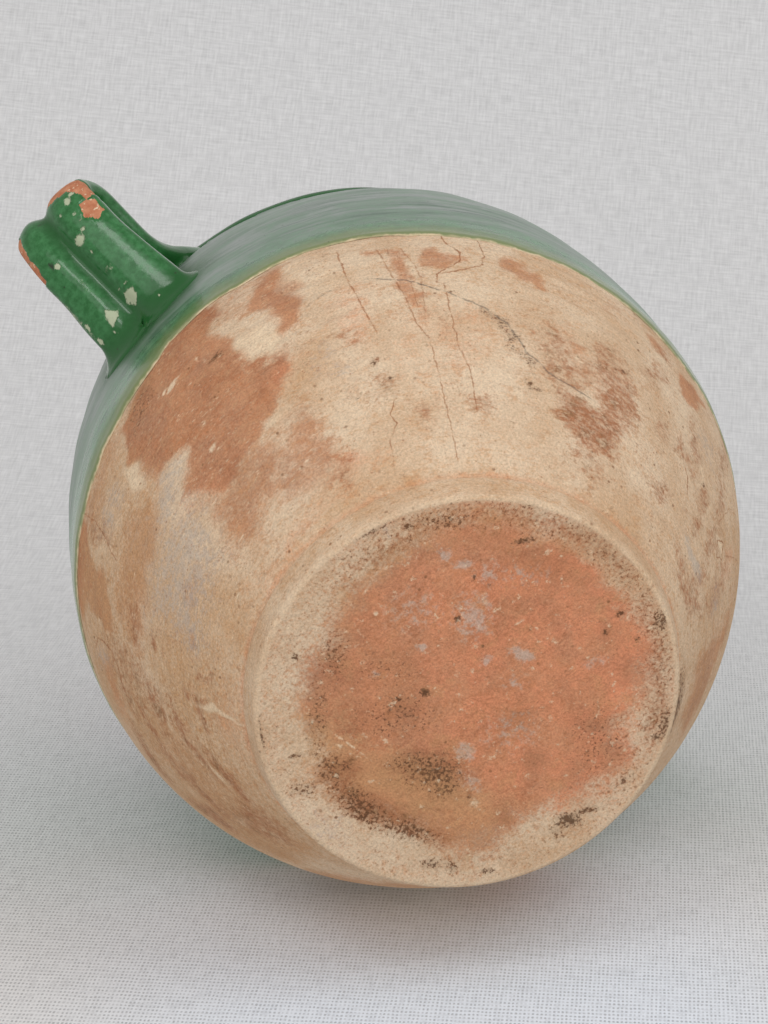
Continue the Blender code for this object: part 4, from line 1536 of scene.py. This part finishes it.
@dataclass(frozen=True)
class Strap:
    """One pulled strap, pressed on under the lip and on the shoulder."""

    form: PotForm
    side: Side
    reach: float = 0.045
    bend_rise: float = 0.0805
    bend_half: float = 0.013
    bend_depth: float = 0.011
    waist_reach: float = 0.0095
    waist_rise: float = 0.093
    waist: float = 0.0032
    lift_rise: float = 0.102
    root_drop: float = 0.0125
    root_rise: float = 0.045
    thickness: float = 0.0118
    width: float = 0.0368
    root_spread: float = 0.0062
    groove_depth: float = 0.0038
    groove_width: float = 0.0084
    groove_shift: float = 0.0022
    under_dish: float = 0.0008
    stations: int = 260
    sides: int = 112
    fillet: float = 0.007
    upper_fillet: float = 0.5     # the share of it under the lip
    coat: float = 0.001
    unevenness: float = 0.00022
    clay_rise: float = 0.0006     # the clay stands this far out where the coat is chipped
    chip_depth: float = 0.0002
    wear_edge: float = -0.6   # chips reach round the strap's edges to this sine
    root_depth: float = 0.004     # how deep the ends sit in the wall
    least_pool: float = 0.3   # how far the coat is thickened all along
    lean: tuple = (0.008, 0.018)  # towards this side the clay is pressed on more tightly
    lean_share: float = 0.45
    lifting_share: float = 0.45   # where the extra knot between neck and lift lies
    knot_steps: int = 30
    squared: tuple = (0.85, 0.75)     # below 1, the section is squarer than an oval
    uneven_waves: tuple = (0.03, 11)
    sunk: tuple = (0.0, 0.012)    # what floats this near to the wall is drawn back to it
    clay_clear: tuple = (0.006, 0.014)  # the clay stands out beyond this distance from it
    wear_soft: float = 0.2
    chip_waves: tuple = ((0.16, 0.005, 12),)
    chip_least: float = 0.02
    chip_edge: tuple = (0.4, 0.6)
    pit_edge: tuple = (0.35, 0.65)
    root_pool: tuple = (0.002, 0.02)  # the coat pools this near to the wall
    root_share: float = 0.9
    # painted shade: the groove is darkened with the pooled coat's colour
    groove_shade_share: float = 0.85
    line_far: float = 60.0    # millimetres from the coat's lower line
    veil: float = 0.08

    @property
    def angles(self) -> Array:
        """The angles of the section's points."""
        return math.tau * (np.arange(self.sides) + 0.5) / self.sides

    def groove(self, across: Array) -> Array:
        """The share of the groove's depth at places across the strap."""
        return bell(2 * (across + self.groove_shift), self.groove_width)

    def uneven(self, points: Array) -> Array:
        """How far the hand-pulled surface stands out at some points."""
        return self.unevenness * Ripple(*self.uneven_waves).at(points)

    def route(self) -> Array:
        """Draw the strap's centre line from neck to belly.

        Returns:
            Rows of (radius, height, extra width).
        """
        form = self.form
        tip = form.belly_radius + self.reach
        limb = tip - self.bend_depth
        bend = form.belly_height + self.bend_rise
        lift = form.belly_height + self.lift_rise
        upper_root = Vector((form.crest_radius, form.rim_height - self.root_drop))
        lifting = Vector((form.shoulder_radius(lift) + self.thickness / 2, lift))
        halfway = upper_root.lerp(lifting, self.lifting_share)
        root = form.belly_height + self.root_rise
        lower_root = Vector((form.shoulder_radius(root), root))
        lower_bend = Vector((limb, bend - self.bend_half))
        inward = (lower_root - lower_bend).normalized() * self.thickness
        half_limb = lower_bend.lerp(lower_root, 0.5)
        spread, waist = self.root_spread, self.waist
        knots = [
            (form.neck_radius - self.thickness, upper_root.y, spread),
            (*upper_root, spread),
            (*halfway, spread * 0.7),
            (*lifting, -waist * 0.3),
            (form.belly_radius + self.waist_reach, form.belly_height + self.waist_rise, -waist),
            (limb, bend + self.bend_half, waist * 0.3),
            (tip, bend, 0),
            (*lower_bend, waist * 0.1),
            (*half_limb, spread * 0.4),
            (*lower_root, spread),
            (*(lower_root + inward), spread * 1.3),
        ]
        knots = np.array(knots)
        knots = np.concatenate([[2 * knots[0] - knots[1]], knots, [2 * knots[-1] - knots[-2]]])
        t = np.linspace(0, 1, self.knot_steps, endpoint=False)[:, None]
        dense = []
        for p0, p1, p2, p3 in zip(knots, knots[1:], knots[2:], knots[3:]):
            bow = 2 * p0 - 5 * p1 + 4 * p2 - p3
            twist = 3 * p1 - p0 - 3 * p2 + p3
            dense.append(p1 + 0.5 * ((p2 - p0) * t + bow * t ** 2 + twist * t ** 3))
        dense = np.concatenate(dense + [knots[-2:-1]])
        along = lengths(dense[:, :2])
        even = np.linspace(0, along[-1], self.stations)
        return np.stack([np.interp(even, along, dense[:, k]) for k in range(3)], axis=-1)

    def surface(self, grow: float) -> tuple[Array, Array, Array, Array]:
        """Sweep the section along the route.

        Args:
            grow: How far outside the clay the surface lies.

        Returns:
            The points by station and side, their outward directions, the places across the
            strap and the lengths along it.
        """
        route = self.route()
        run = unit(np.gradient(route[:, :2], axis=0))
        out = np.stack([-run[:, 1], run[:, 0]], axis=-1)
        c, s = np.cos(self.angles), np.sin(self.angles)
        half = (self.width + route[:, 2:]) / 2 + grow
        across = np.sign(c) * np.abs(c) ** self.squared[0] * half
        outward = np.sign(s) * np.abs(s) ** self.squared[1] * (self.thickness / 2 + grow)
        dip = np.where(s > 0, self.groove_depth, -self.under_dish)
        outward = outward - self.groove(across) * dip
        spot = route[:, None, :2] + out[:, None, :] * outward[..., None]
        points = np.stack([-across * self.side.value, spot[..., 0] * self.side.value, spot[..., 1]],
                          axis=-1)
        ahead = np.gradient(points, axis=0)
        round_about = np.roll(points, -1, axis=1) - np.roll(points, 1, axis=1)
        way = np.cross(round_about, ahead) * self.side.value
        way /= np.linalg.norm(way, axis=-1, keepdims=True) + 1e-12
        middle = points.mean(axis=1, keepdims=True)
        way *= np.sign(((points - middle) * way).sum(axis=-1).mean())
        along = lengths(route[:, :2])
        return points, way, across, np.repeat(along[:, None], self.sides, axis=1)

    def above_body(self, points: Array) -> Array:
        """How far points lie outside the pot's wall.

        Args:
            points: Rows of x, y, z.

        Returns:
            Distances in metres, below 0 inside the wall.
        """
        wall = np.array(self.form.wall() + self.form.lip())
        radius = np.hypot(points[..., 0], points[..., 1])
        order = np.argsort(wall[:, 1], kind="stable")
        return radius - np.interp(points[..., 2], wall[order, 1], wall[order, 0])

    def filleted(self, grow: float) -> tuple[Array, Array, Array, Array]:
        """Sweep the surface and smooth it into the body at both roots.

        Args:
            grow: How far outside the clay the surface lies.

        Returns:
            As surface gives.
        """
        points, way, across, along = self.surface(grow)
        fillet = self.fillet * np.where(along < along.max() / 2, self.upper_fillet, 1.0)
        fillet = fillet * (1 - self.lean_share * smooth(across, *self.lean))
        above = self.above_body(points)
        gap = np.clip((above - self.coat) / fillet, 0, 1)
        flare = fillet * (1 - np.sqrt(np.clip(1 - (1 - gap) ** 2, 0, 1)))
        points = points + way * flare[..., None]
        floating = np.clip(self.above_body(points) - np.maximum(above, 0), 0, None) * (flare > 0)
        drawn = floating * fading(above, *self.sunk)
        points[..., :2] -= unit(points[..., :2]) * drawn[..., None]
        points = points + way * self.uneven(points)[..., None]
        return points, way, across, along

    def mesh_of(self, points: Array) -> tuple[Array, Faces]:
        """Close the swept surface at both ends.

        Args:
            points: The points by station and side.

        Returns:
            The points in rows, and the faces.
        """
        rows = points.reshape(-1, 3)
        ends = np.stack([points[0].mean(axis=0), points[-1].mean(axis=0)])
        rows = np.concatenate([rows, ends])
        deep = np.clip(-self.root_depth - self.above_body(rows), 0, None)
        rows[:, :2] *= (1 + deep / np.hypot(rows[:, 0], rows[:, 1]))[:, None]
        return rows, capped_faces(self.stations, self.sides)

    def build(self) -> list[bpy.types.Object]:
        """Make the strap's clay and its coat.

        Returns:
            The two pieces.
        """
        name = self.side.name.lower() + "_handle"
        core, way, _, _ = self.surface(0.0)
        clear = smooth(self.above_body(core), *self.clay_clear)
        raised = self.clay_rise + self.uneven(core)
        core = core + way * (raised * clear)[..., None]
        rows, faces = self.mesh_of(core)
        clay = make_piece(name + "_clay", rows, faces, {}, HandleClay().material(name + "_clay"))
        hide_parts(name)
        skin, way, across, along = self.filleted(self.coat)
        wear = BACK_WEAR if self.side is Side.BACK else FRONT_WEAR
        edge, soft = self.wear_edge, self.wear_soft
        outer = smooth(np.sin(self.angles), edge - soft, edge + soft)
        bare, pits, flakes = (wear.mask(patches, across, along) * outer
                              for patches in (wear.bare, wear.pits, wear.flakes))
        shaken = bare + rippled(self.chip_waves, skin) * (bare > self.chip_least)
        bare = smooth(shaken, *self.chip_edge)
        pits = smooth(pits, *self.pit_edge)
        skin = skin + (core - skin - way * self.chip_depth) * bare[..., None]
        skin = skin - way * (self.chip_depth * pits)[..., None]
        rows, faces = self.mesh_of(skin)
        # the coat pools at the roots and is thickened all along; in the groove the same dark colour
        # is painted shade
        pool = fading(self.above_body(skin), *self.root_pool) * self.root_share
        pool = np.maximum(np.maximum(pool, self.groove(across) * self.groove_shade_share),
                          self.least_pool)
        paint = {"above": np.full(len(rows), self.line_far), "veil": np.full(len(rows), self.veil)}
        for key, values, end in (("pool", pool, 1), ("flake", flakes, 0), ("pit", pits, 0)):
            paint[key] = np.append(values.ravel(), [end, end])
        coat = make_piece(name + "_glaze", rows, faces, paint,
                          GreenGlaze().material("green_glaze_" + name))
        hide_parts("outer_glaze")
        return [clay, coat]


@dataclass(frozen=True)
class HoneyCoat:
    """The amber coat from the lip's top line down to the middle of the floor."""

    form: PotForm
    segments: int = 180
    step: float = 0.0035
    lift: float = 0.00015
    thickness: float = 0.0009
    floor_rows: int = 21
    hole: float = 0.002       # the radius left open round the axis, under the last row

    def build(self) -> bpy.types.Object:
        """Make the coat.

        Returns:
            The piece.
        """
        inside = self.form.inside()
        count = int(inside.along[-1] / self.step)
        spot, side = inside.read(np.linspace(0, inside.along[-1], count))
        floor = np.linspace(spot[-1, 0], self.hole, self.floor_rows + 1)[1:]
        floor = np.stack([floor, np.full(floor.shape, spot[-1, 1])], axis=-1)
        spot = np.concatenate([spot, floor])
        side = -side if side[count // 2, 0] > 0 else side
        side = np.concatenate([side, np.tile([[0.0, 1.0]], (self.floor_rows, 1))])
        face = spot + side * (self.lift + self.thickness)
        back = spot + side * self.lift
        outline = np.concatenate([face, back[::-1]])
        rows = turned(outline[:, :1], outline[:, 1:], all_round(self.segments)).reshape(-1, 3)
        faces = ring_faces(len(outline), self.segments, closed_rows=True)
        piece = make_piece("inner_glaze_honey", rows, faces, {}, HoneyGlaze().material())
        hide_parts("inner_glaze")
        return piece


@dataclass(frozen=True)
class Studio:
    """Pale floors, soft lamps, an even sky and the photo's camera."""

    linen: Color = srgb(230, 229, 229)
    hole: Color = srgb(182, 181, 181)
    own_front: tuple = (1.05, 1.14, 1.25)  # painted light: brightens and cools the cloth near the pot, in front, against the clay's warm bounced light
    own_back: tuple = (1.04, 0.97, 1.02)  # and tints it further back against the green coat's bounced light
    tinged: tuple = (0.12, 0.21)  # metres from the pot's axis
    tinge_turn: tuple = (0.1, 0.15)
    tinge_end: tuple = (0.28, 0.42)
    # painted shadow on the cloth under the pot's foot: its middle across and ahead, half sizes,
    # depth and colour
    painted_shadow_middle: tuple = (-0.03, 0.115)
    painted_shadow_half: tuple = (0.048, 0.03)
    painted_shadow_depth: float = 0.54
    painted_shadow_color: tuple = (0.0, 0.05, 0.1)
    ground: Color = srgb(204, 203, 202)
    thread_pitch: tuple = (0.0015, 0.0027)
    weave_turn: float = -6.0  # how far the threads are turned from the picture's sides
    sharp_reach: tuple = (0.3, 0.55)  # the threads blur between these distances
    shelf_gap: float = 0.0004     # keeps the shelf clear of the underside
    floor_reach: float = 1.3
    sweep_start: float = 0.45     # from the pot's underside to where the cloth turns up
    sweep_radius: float = 0.45
    world_level: float = 0.55
    photo_up: tuple = (-0.741, 0.664, 0.102)
    photo_floor: float = -0.1175
    camera_spot: tuple = (-0.1851, 0.3844, -0.808)
    camera_right: tuple = (-0.671, -0.7255, -0.155)
    camera_down: tuple = (0.721, -0.589, -0.366)
    lens: float = 92.81
    lamps: tuple = (          # shares of up, right and back, distance, side and level
        ("window", (0.8, 0.6, 0.35), 1.7, 1.2, 0.22),
        ("front", (0.24, -0.16, 0.92), 1.7, 1.9, 0.38),
        ("strip", (0.54, -0.25, 0.66), 1.7, 0.4, 0.07),
    )
    ceiling_way: tuple = (0.15, -0.3, 1.0)
    ceiling: tuple = (1.6, 2.0, 0.06)     # distance, side and level
    lamp_target: tuple = (0.0, 0.0, 0.12)
    shelf_fade: Point = (0.5, 1.3)    # metres from the origin
    sweep_fade: Point = (1.6, 2.6)
    sweep_front: tuple = ((-1.1, 0.0), (-0.4, 0.0))
    sweep_steps: int = 24
    sweep_top: float = 2.4
    sweep_width: float = 4.0
    cloth_columns: int = 9

    def linen_finish(self, name: str, fade: Point, offset: bool) -> bpy.types.Material:
        """Weave the cloth, seen from its upper side alone, and fade it out far away.

        Args:
            name: The material's name.
            fade: Where it starts to fade and where it has gone, metres from the origin.
            offset: Whether the pot's own glow on it is offset.

        Returns:
            The material.
        """
        g = Graph(name)
        cloth = g.attribute("cloth", "Vector")
        wander = [g.scaled(g.noise(size, 3), 4.0, -2.0) for size in (5, 7)]
        turns = []
        for part, pitch, bend in zip(g.parts(cloth), self.thread_pitch, wander):
            turns.append(g.maths("SINE", g.scaled(part, math.tau / pitch, bend)))
        slubs = []
        for stretch in ((0.1, 1.0, 1.0), (1.0, 0.1, 1.0)):
            along = g.vector_maths("MULTIPLY", cloth, stretch).outputs[0]
            slubs.append(g.noise(1.4, 2, along))
        length = g.vector_maths("LENGTH", g.place).outputs["Value"]
        sharp = g.step(length, *self.sharp_reach, 1.0, 0.0)
        gaps = [g.scaled(turn, 0.5, 0.5) for turn in turns]
        gap = g.maths("SUBTRACT", g.times(*gaps), 0.25)
        gap = g.times(gap, g.step(g.noise(2.2, 2), 0.35, 0.65, 0.4, 1.6))
        slub = g.scaled(g.maths("ADD", *slubs), 0.8, -0.8)
        open_share = g.scaled(gap, sharp, 0.25)
        weave = g.maths("SUBTRACT", open_share, slub)
        color = g.mix(weave, self.linen, self.hole)
        if offset:
            color = self.kept_grey(g, color)
        g.finish(color, 0.95, g.bump(weave, -0.1), Specular_IOR_Level=0.1)
        clear = g.node("ShaderNodeBsdfTransparent").outputs[0]
        backs = g.node("ShaderNodeNewGeometry").outputs["Backfacing"]
        hidden = g.maths("MAXIMUM", backs, g.step(length, *fade))
        blend = g.fed("ShaderNodeMixShader", {0: hidden, 1: g.shader.outputs[0], 2: clear})
        g.feed(g.tree.nodes["Material Output"].inputs["Surface"], blend.outputs[0])
        return g.material

    def kept_grey(self, g: Graph, color: Socket) -> Link:
        """Offset the pot's own glow on the cloth with a painted tint, and paint a soft shadow under
        its foot.

        Args:
            g: The material's nodes.
            color: The cloth's colour.

        Returns:
            The colour near the pot.
        """
        x, y, z = g.parts(g.place)
        away = g.maths("SQRT", g.maths("ADD", g.times(x, x), g.times(y, y)))
        # painted light: near the pot the cloth is brightened and tinted against the pot's bounced
        # light
        offset = g.mix(g.step(z, *self.tinge_turn), self.own_front, self.own_back)
        near = g.times(g.step(away, *self.tinged, 1.0, 0.0), g.step(z, *self.tinge_end, 1.0, 0.0))
        color = g.mix(near, color, g.mix(1.0, color, offset, "MULTIPLY"))
        # painted shadow: a soft dark oval on the cloth under the pot's foot
        up, across, ahead = self.floor_ways()
        shares = []
        for way, middle, half in zip((across, ahead), self.painted_shadow_middle, self.painted_shadow_half):
            spot = g.vector_maths("DOT_PRODUCT", g.place, tuple(way)).outputs["Value"]
            off = g.maths("DIVIDE", g.maths("SUBTRACT", spot, middle), half)
            shares.append(g.times(off, off))
        dark = g.maths("EXPONENT", g.times(g.maths("ADD", *shares), -1.0))
        return g.mix(g.times(dark, self.painted_shadow_depth), color, self.painted_shadow_color)

    def floor_ways(self) -> tuple[Vector, Vector, Vector]:
        """The photo floor's upward, sideways and receding directions."""
        up = Vector(self.photo_up).normalized()
        right = Vector(self.camera_right)
        across = (right - up * right.dot(up)).normalized()
        return up, across, up.cross(across)

    def cloth(self, name: str, origin: Vector, across: Vector, ahead: Vector, up: Vector,
              section: Sequence[Point], width: float,
              fade: Point, offset: bool) -> bpy.types.Object:
        """Lay a cloth along a section, for the camera's rays alone.

        Args:
            name: Its name.
            origin: Where the section starts from.
            across: The way its width runs.
            ahead: The way the section's first numbers run.
            up: The way its second numbers run, and its upper side.
            section: Its line, as (ahead, up).
            width: Its width.
            fade: Where it fades out, as linen_finish takes it.
            offset: Whether the pot's own glow on it is offset.

        Returns:
            The cloth.
        """
        columns = self.cloth_columns
        line = Outline(section)
        turn = math.radians(self.weave_turn)
        points, laid, faces = [], [], []
        for (forward, rise), length in zip(line.points, line.along):
            for k in range(columns):
                side = (k / (columns - 1) - 0.5) * width
                points.append(tuple(origin + across * side + ahead * forward + up * rise))
                laid.append((side * math.cos(turn) + length * math.sin(turn),
                             length * math.cos(turn) - side * math.sin(turn), 0.0))
        for i in range(len(line.points) - 1):
            for k in range(columns - 1):
                here = i * columns + k
                faces.append((here, here + 1, here + columns + 1, here + columns))
        mesh = bpy.data.meshes.new(name)
        mesh.from_pydata(points, [], faces)
        if mesh.polygons[0].normal.dot(up) < 0:
            mesh.flip_normals()
        layer = mesh.attributes.new("cloth", "FLOAT_VECTOR", "POINT")
        layer.data.foreach_set("vector", np.array(laid, np.float32).ravel())
        mesh.shade_smooth()
        mesh.materials.append(self.linen_finish(name + "_linen", fade, offset))
        sheet = bpy.data.objects.new(name, mesh)
        bpy.context.scene.collection.objects.link(sheet)
        for ray in ("diffuse", "glossy", "transmission", "volume_scatter", "shadow"):
            setattr(sheet, "visible_" + ray, False)
        return sheet

    def lamp(self, name: str, way: Vector, distance: float, size: float,
             level: float) -> bpy.types.Object:
        """Hang a soft lamp.

        Args:
            name: Its name.
            way: From the pot to the lamp.
            distance: How far away.
            size: Its side.
            level: How brightly it lights a white surface that faces it.

        Returns:
            The lamp.
        """
        data = bpy.data.lights.new(name, "AREA")
        data.shape = "SQUARE"
        data.size = size
        data.energy = level * math.pi ** 2 * distance ** 2
        lamp = bpy.data.objects.new(name, data)
        way = way.normalized()
        lamp.rotation_mode = "QUATERNION"
        lamp.rotation_quaternion = way.to_track_quat("Z", "Y")
        lamp.location = Vector(self.lamp_target) + way * distance
        bpy.context.scene.collection.objects.link(lamp)
        lamp.visible_camera = False
        return lamp

    def sky(self) -> None:
        """Light evenly from all round, and show the camera a pale ground."""
        world = bpy.data.worlds.new("studio")
        bpy.context.scene.world = world
        world.use_nodes = True
        tree = world.node_tree
        tree.nodes.clear()
        lit = tree.nodes.new("ShaderNodeBackground")
        lit.inputs["Color"].default_value = (1, 1, 1, 1)
        lit.inputs["Strength"].default_value = self.world_level
        seen = tree.nodes.new("ShaderNodeBackground")
        seen.inputs["Color"].default_value = (*self.ground, 1)
        path = tree.nodes.new("ShaderNodeLightPath")
        blend = tree.nodes.new("ShaderNodeMixShader")
        output = tree.nodes.new("ShaderNodeOutputWorld")
        shown = path.outputs["Is Camera Ray"]
        for ray in ("Is Glossy Ray", "Is Transmission Ray"):
            either = tree.nodes.new("ShaderNodeMath")
            either.operation = "MAXIMUM"
            tree.links.new(shown, either.inputs[0])
            tree.links.new(path.outputs[ray], either.inputs[1])
            shown = either.outputs[0]
        tree.links.new(shown, blend.inputs[0])
        tree.links.new(lit.outputs[0], blend.inputs[1])
        tree.links.new(seen.outputs[0], blend.inputs[2])
        tree.links.new(blend.outputs[0], output.inputs["Surface"])

    def camera(self) -> bpy.types.Object:
        """Stand the camera where the photo was taken."""
        right = Vector(self.camera_right).normalized()
        up = -Vector(self.camera_down).normalized()
        back = right.cross(up).normalized()
        up = back.cross(right)
        data = bpy.data.cameras.new("photo_camera")
        data.sensor_width = 36.0
        data.lens = self.lens
        data.clip_start, data.clip_end = 0.02, 30.0
        camera = bpy.data.objects.new("photo_camera", data)
        turn = Matrix((right, up, back)).transposed().to_4x4()
        camera.matrix_world = Matrix.Translation(self.camera_spot) @ turn
        bpy.context.scene.collection.objects.link(camera)
        bpy.context.scene.camera = camera
        return camera

    def build(self) -> None:
        """Set up floors, lamps, sky and camera."""
        up, across, ahead = self.floor_ways()
        right = Vector(self.camera_right)
        back = right.cross(-Vector(self.camera_down))
        reach = self.floor_reach
        flat = [(-reach, 0.0), (0.0, 0.0), (reach, 0.0)]
        along_x, along_y, along_z = Matrix.Identity(3)
        self.cloth("shelf_floor", along_z * -self.shelf_gap, along_x, along_y, along_z, flat,
                   2 * reach, self.shelf_fade, False)
        bend = arc((self.sweep_start, self.sweep_radius), self.sweep_radius, -90, 0,
                   self.sweep_steps)
        section = [*self.sweep_front, *bend, (bend[-1][0], self.sweep_top)]
        self.cloth("linen_sweep", up * self.photo_floor, across, ahead, up, section,
                   self.sweep_width, self.sweep_fade, True)
        for name, (rising, sideways, backwards), distance, size, level in self.lamps:
            way = up * rising + right * sideways + back * backwards
            self.lamp(name, way, distance, size, level)
        self.lamp("ceiling", Vector(self.ceiling_way), *self.ceiling)
        self.sky()
        self.camera()
        bpy.context.scene.view_settings.view_transform = "Standard"


def main() -> None:
    """Build the pot piece by piece, then the studio."""
    logging.basicConfig(level=logging.INFO, format="%(name)s: %(message)s")
    form = PotForm()
    pieces = [ThrownBody(form).build(), GreenCoat(form, GlazeLine()).build()]
    for side in Side:
        pieces += Strap(form, side).build()
    pieces.append(HoneyCoat(form).build())
    for piece in pieces:
        log.info("%s has %d faces", piece.name, len(piece.data.polygons))
    Studio().build()


if __name__ == "__main__":
    main()
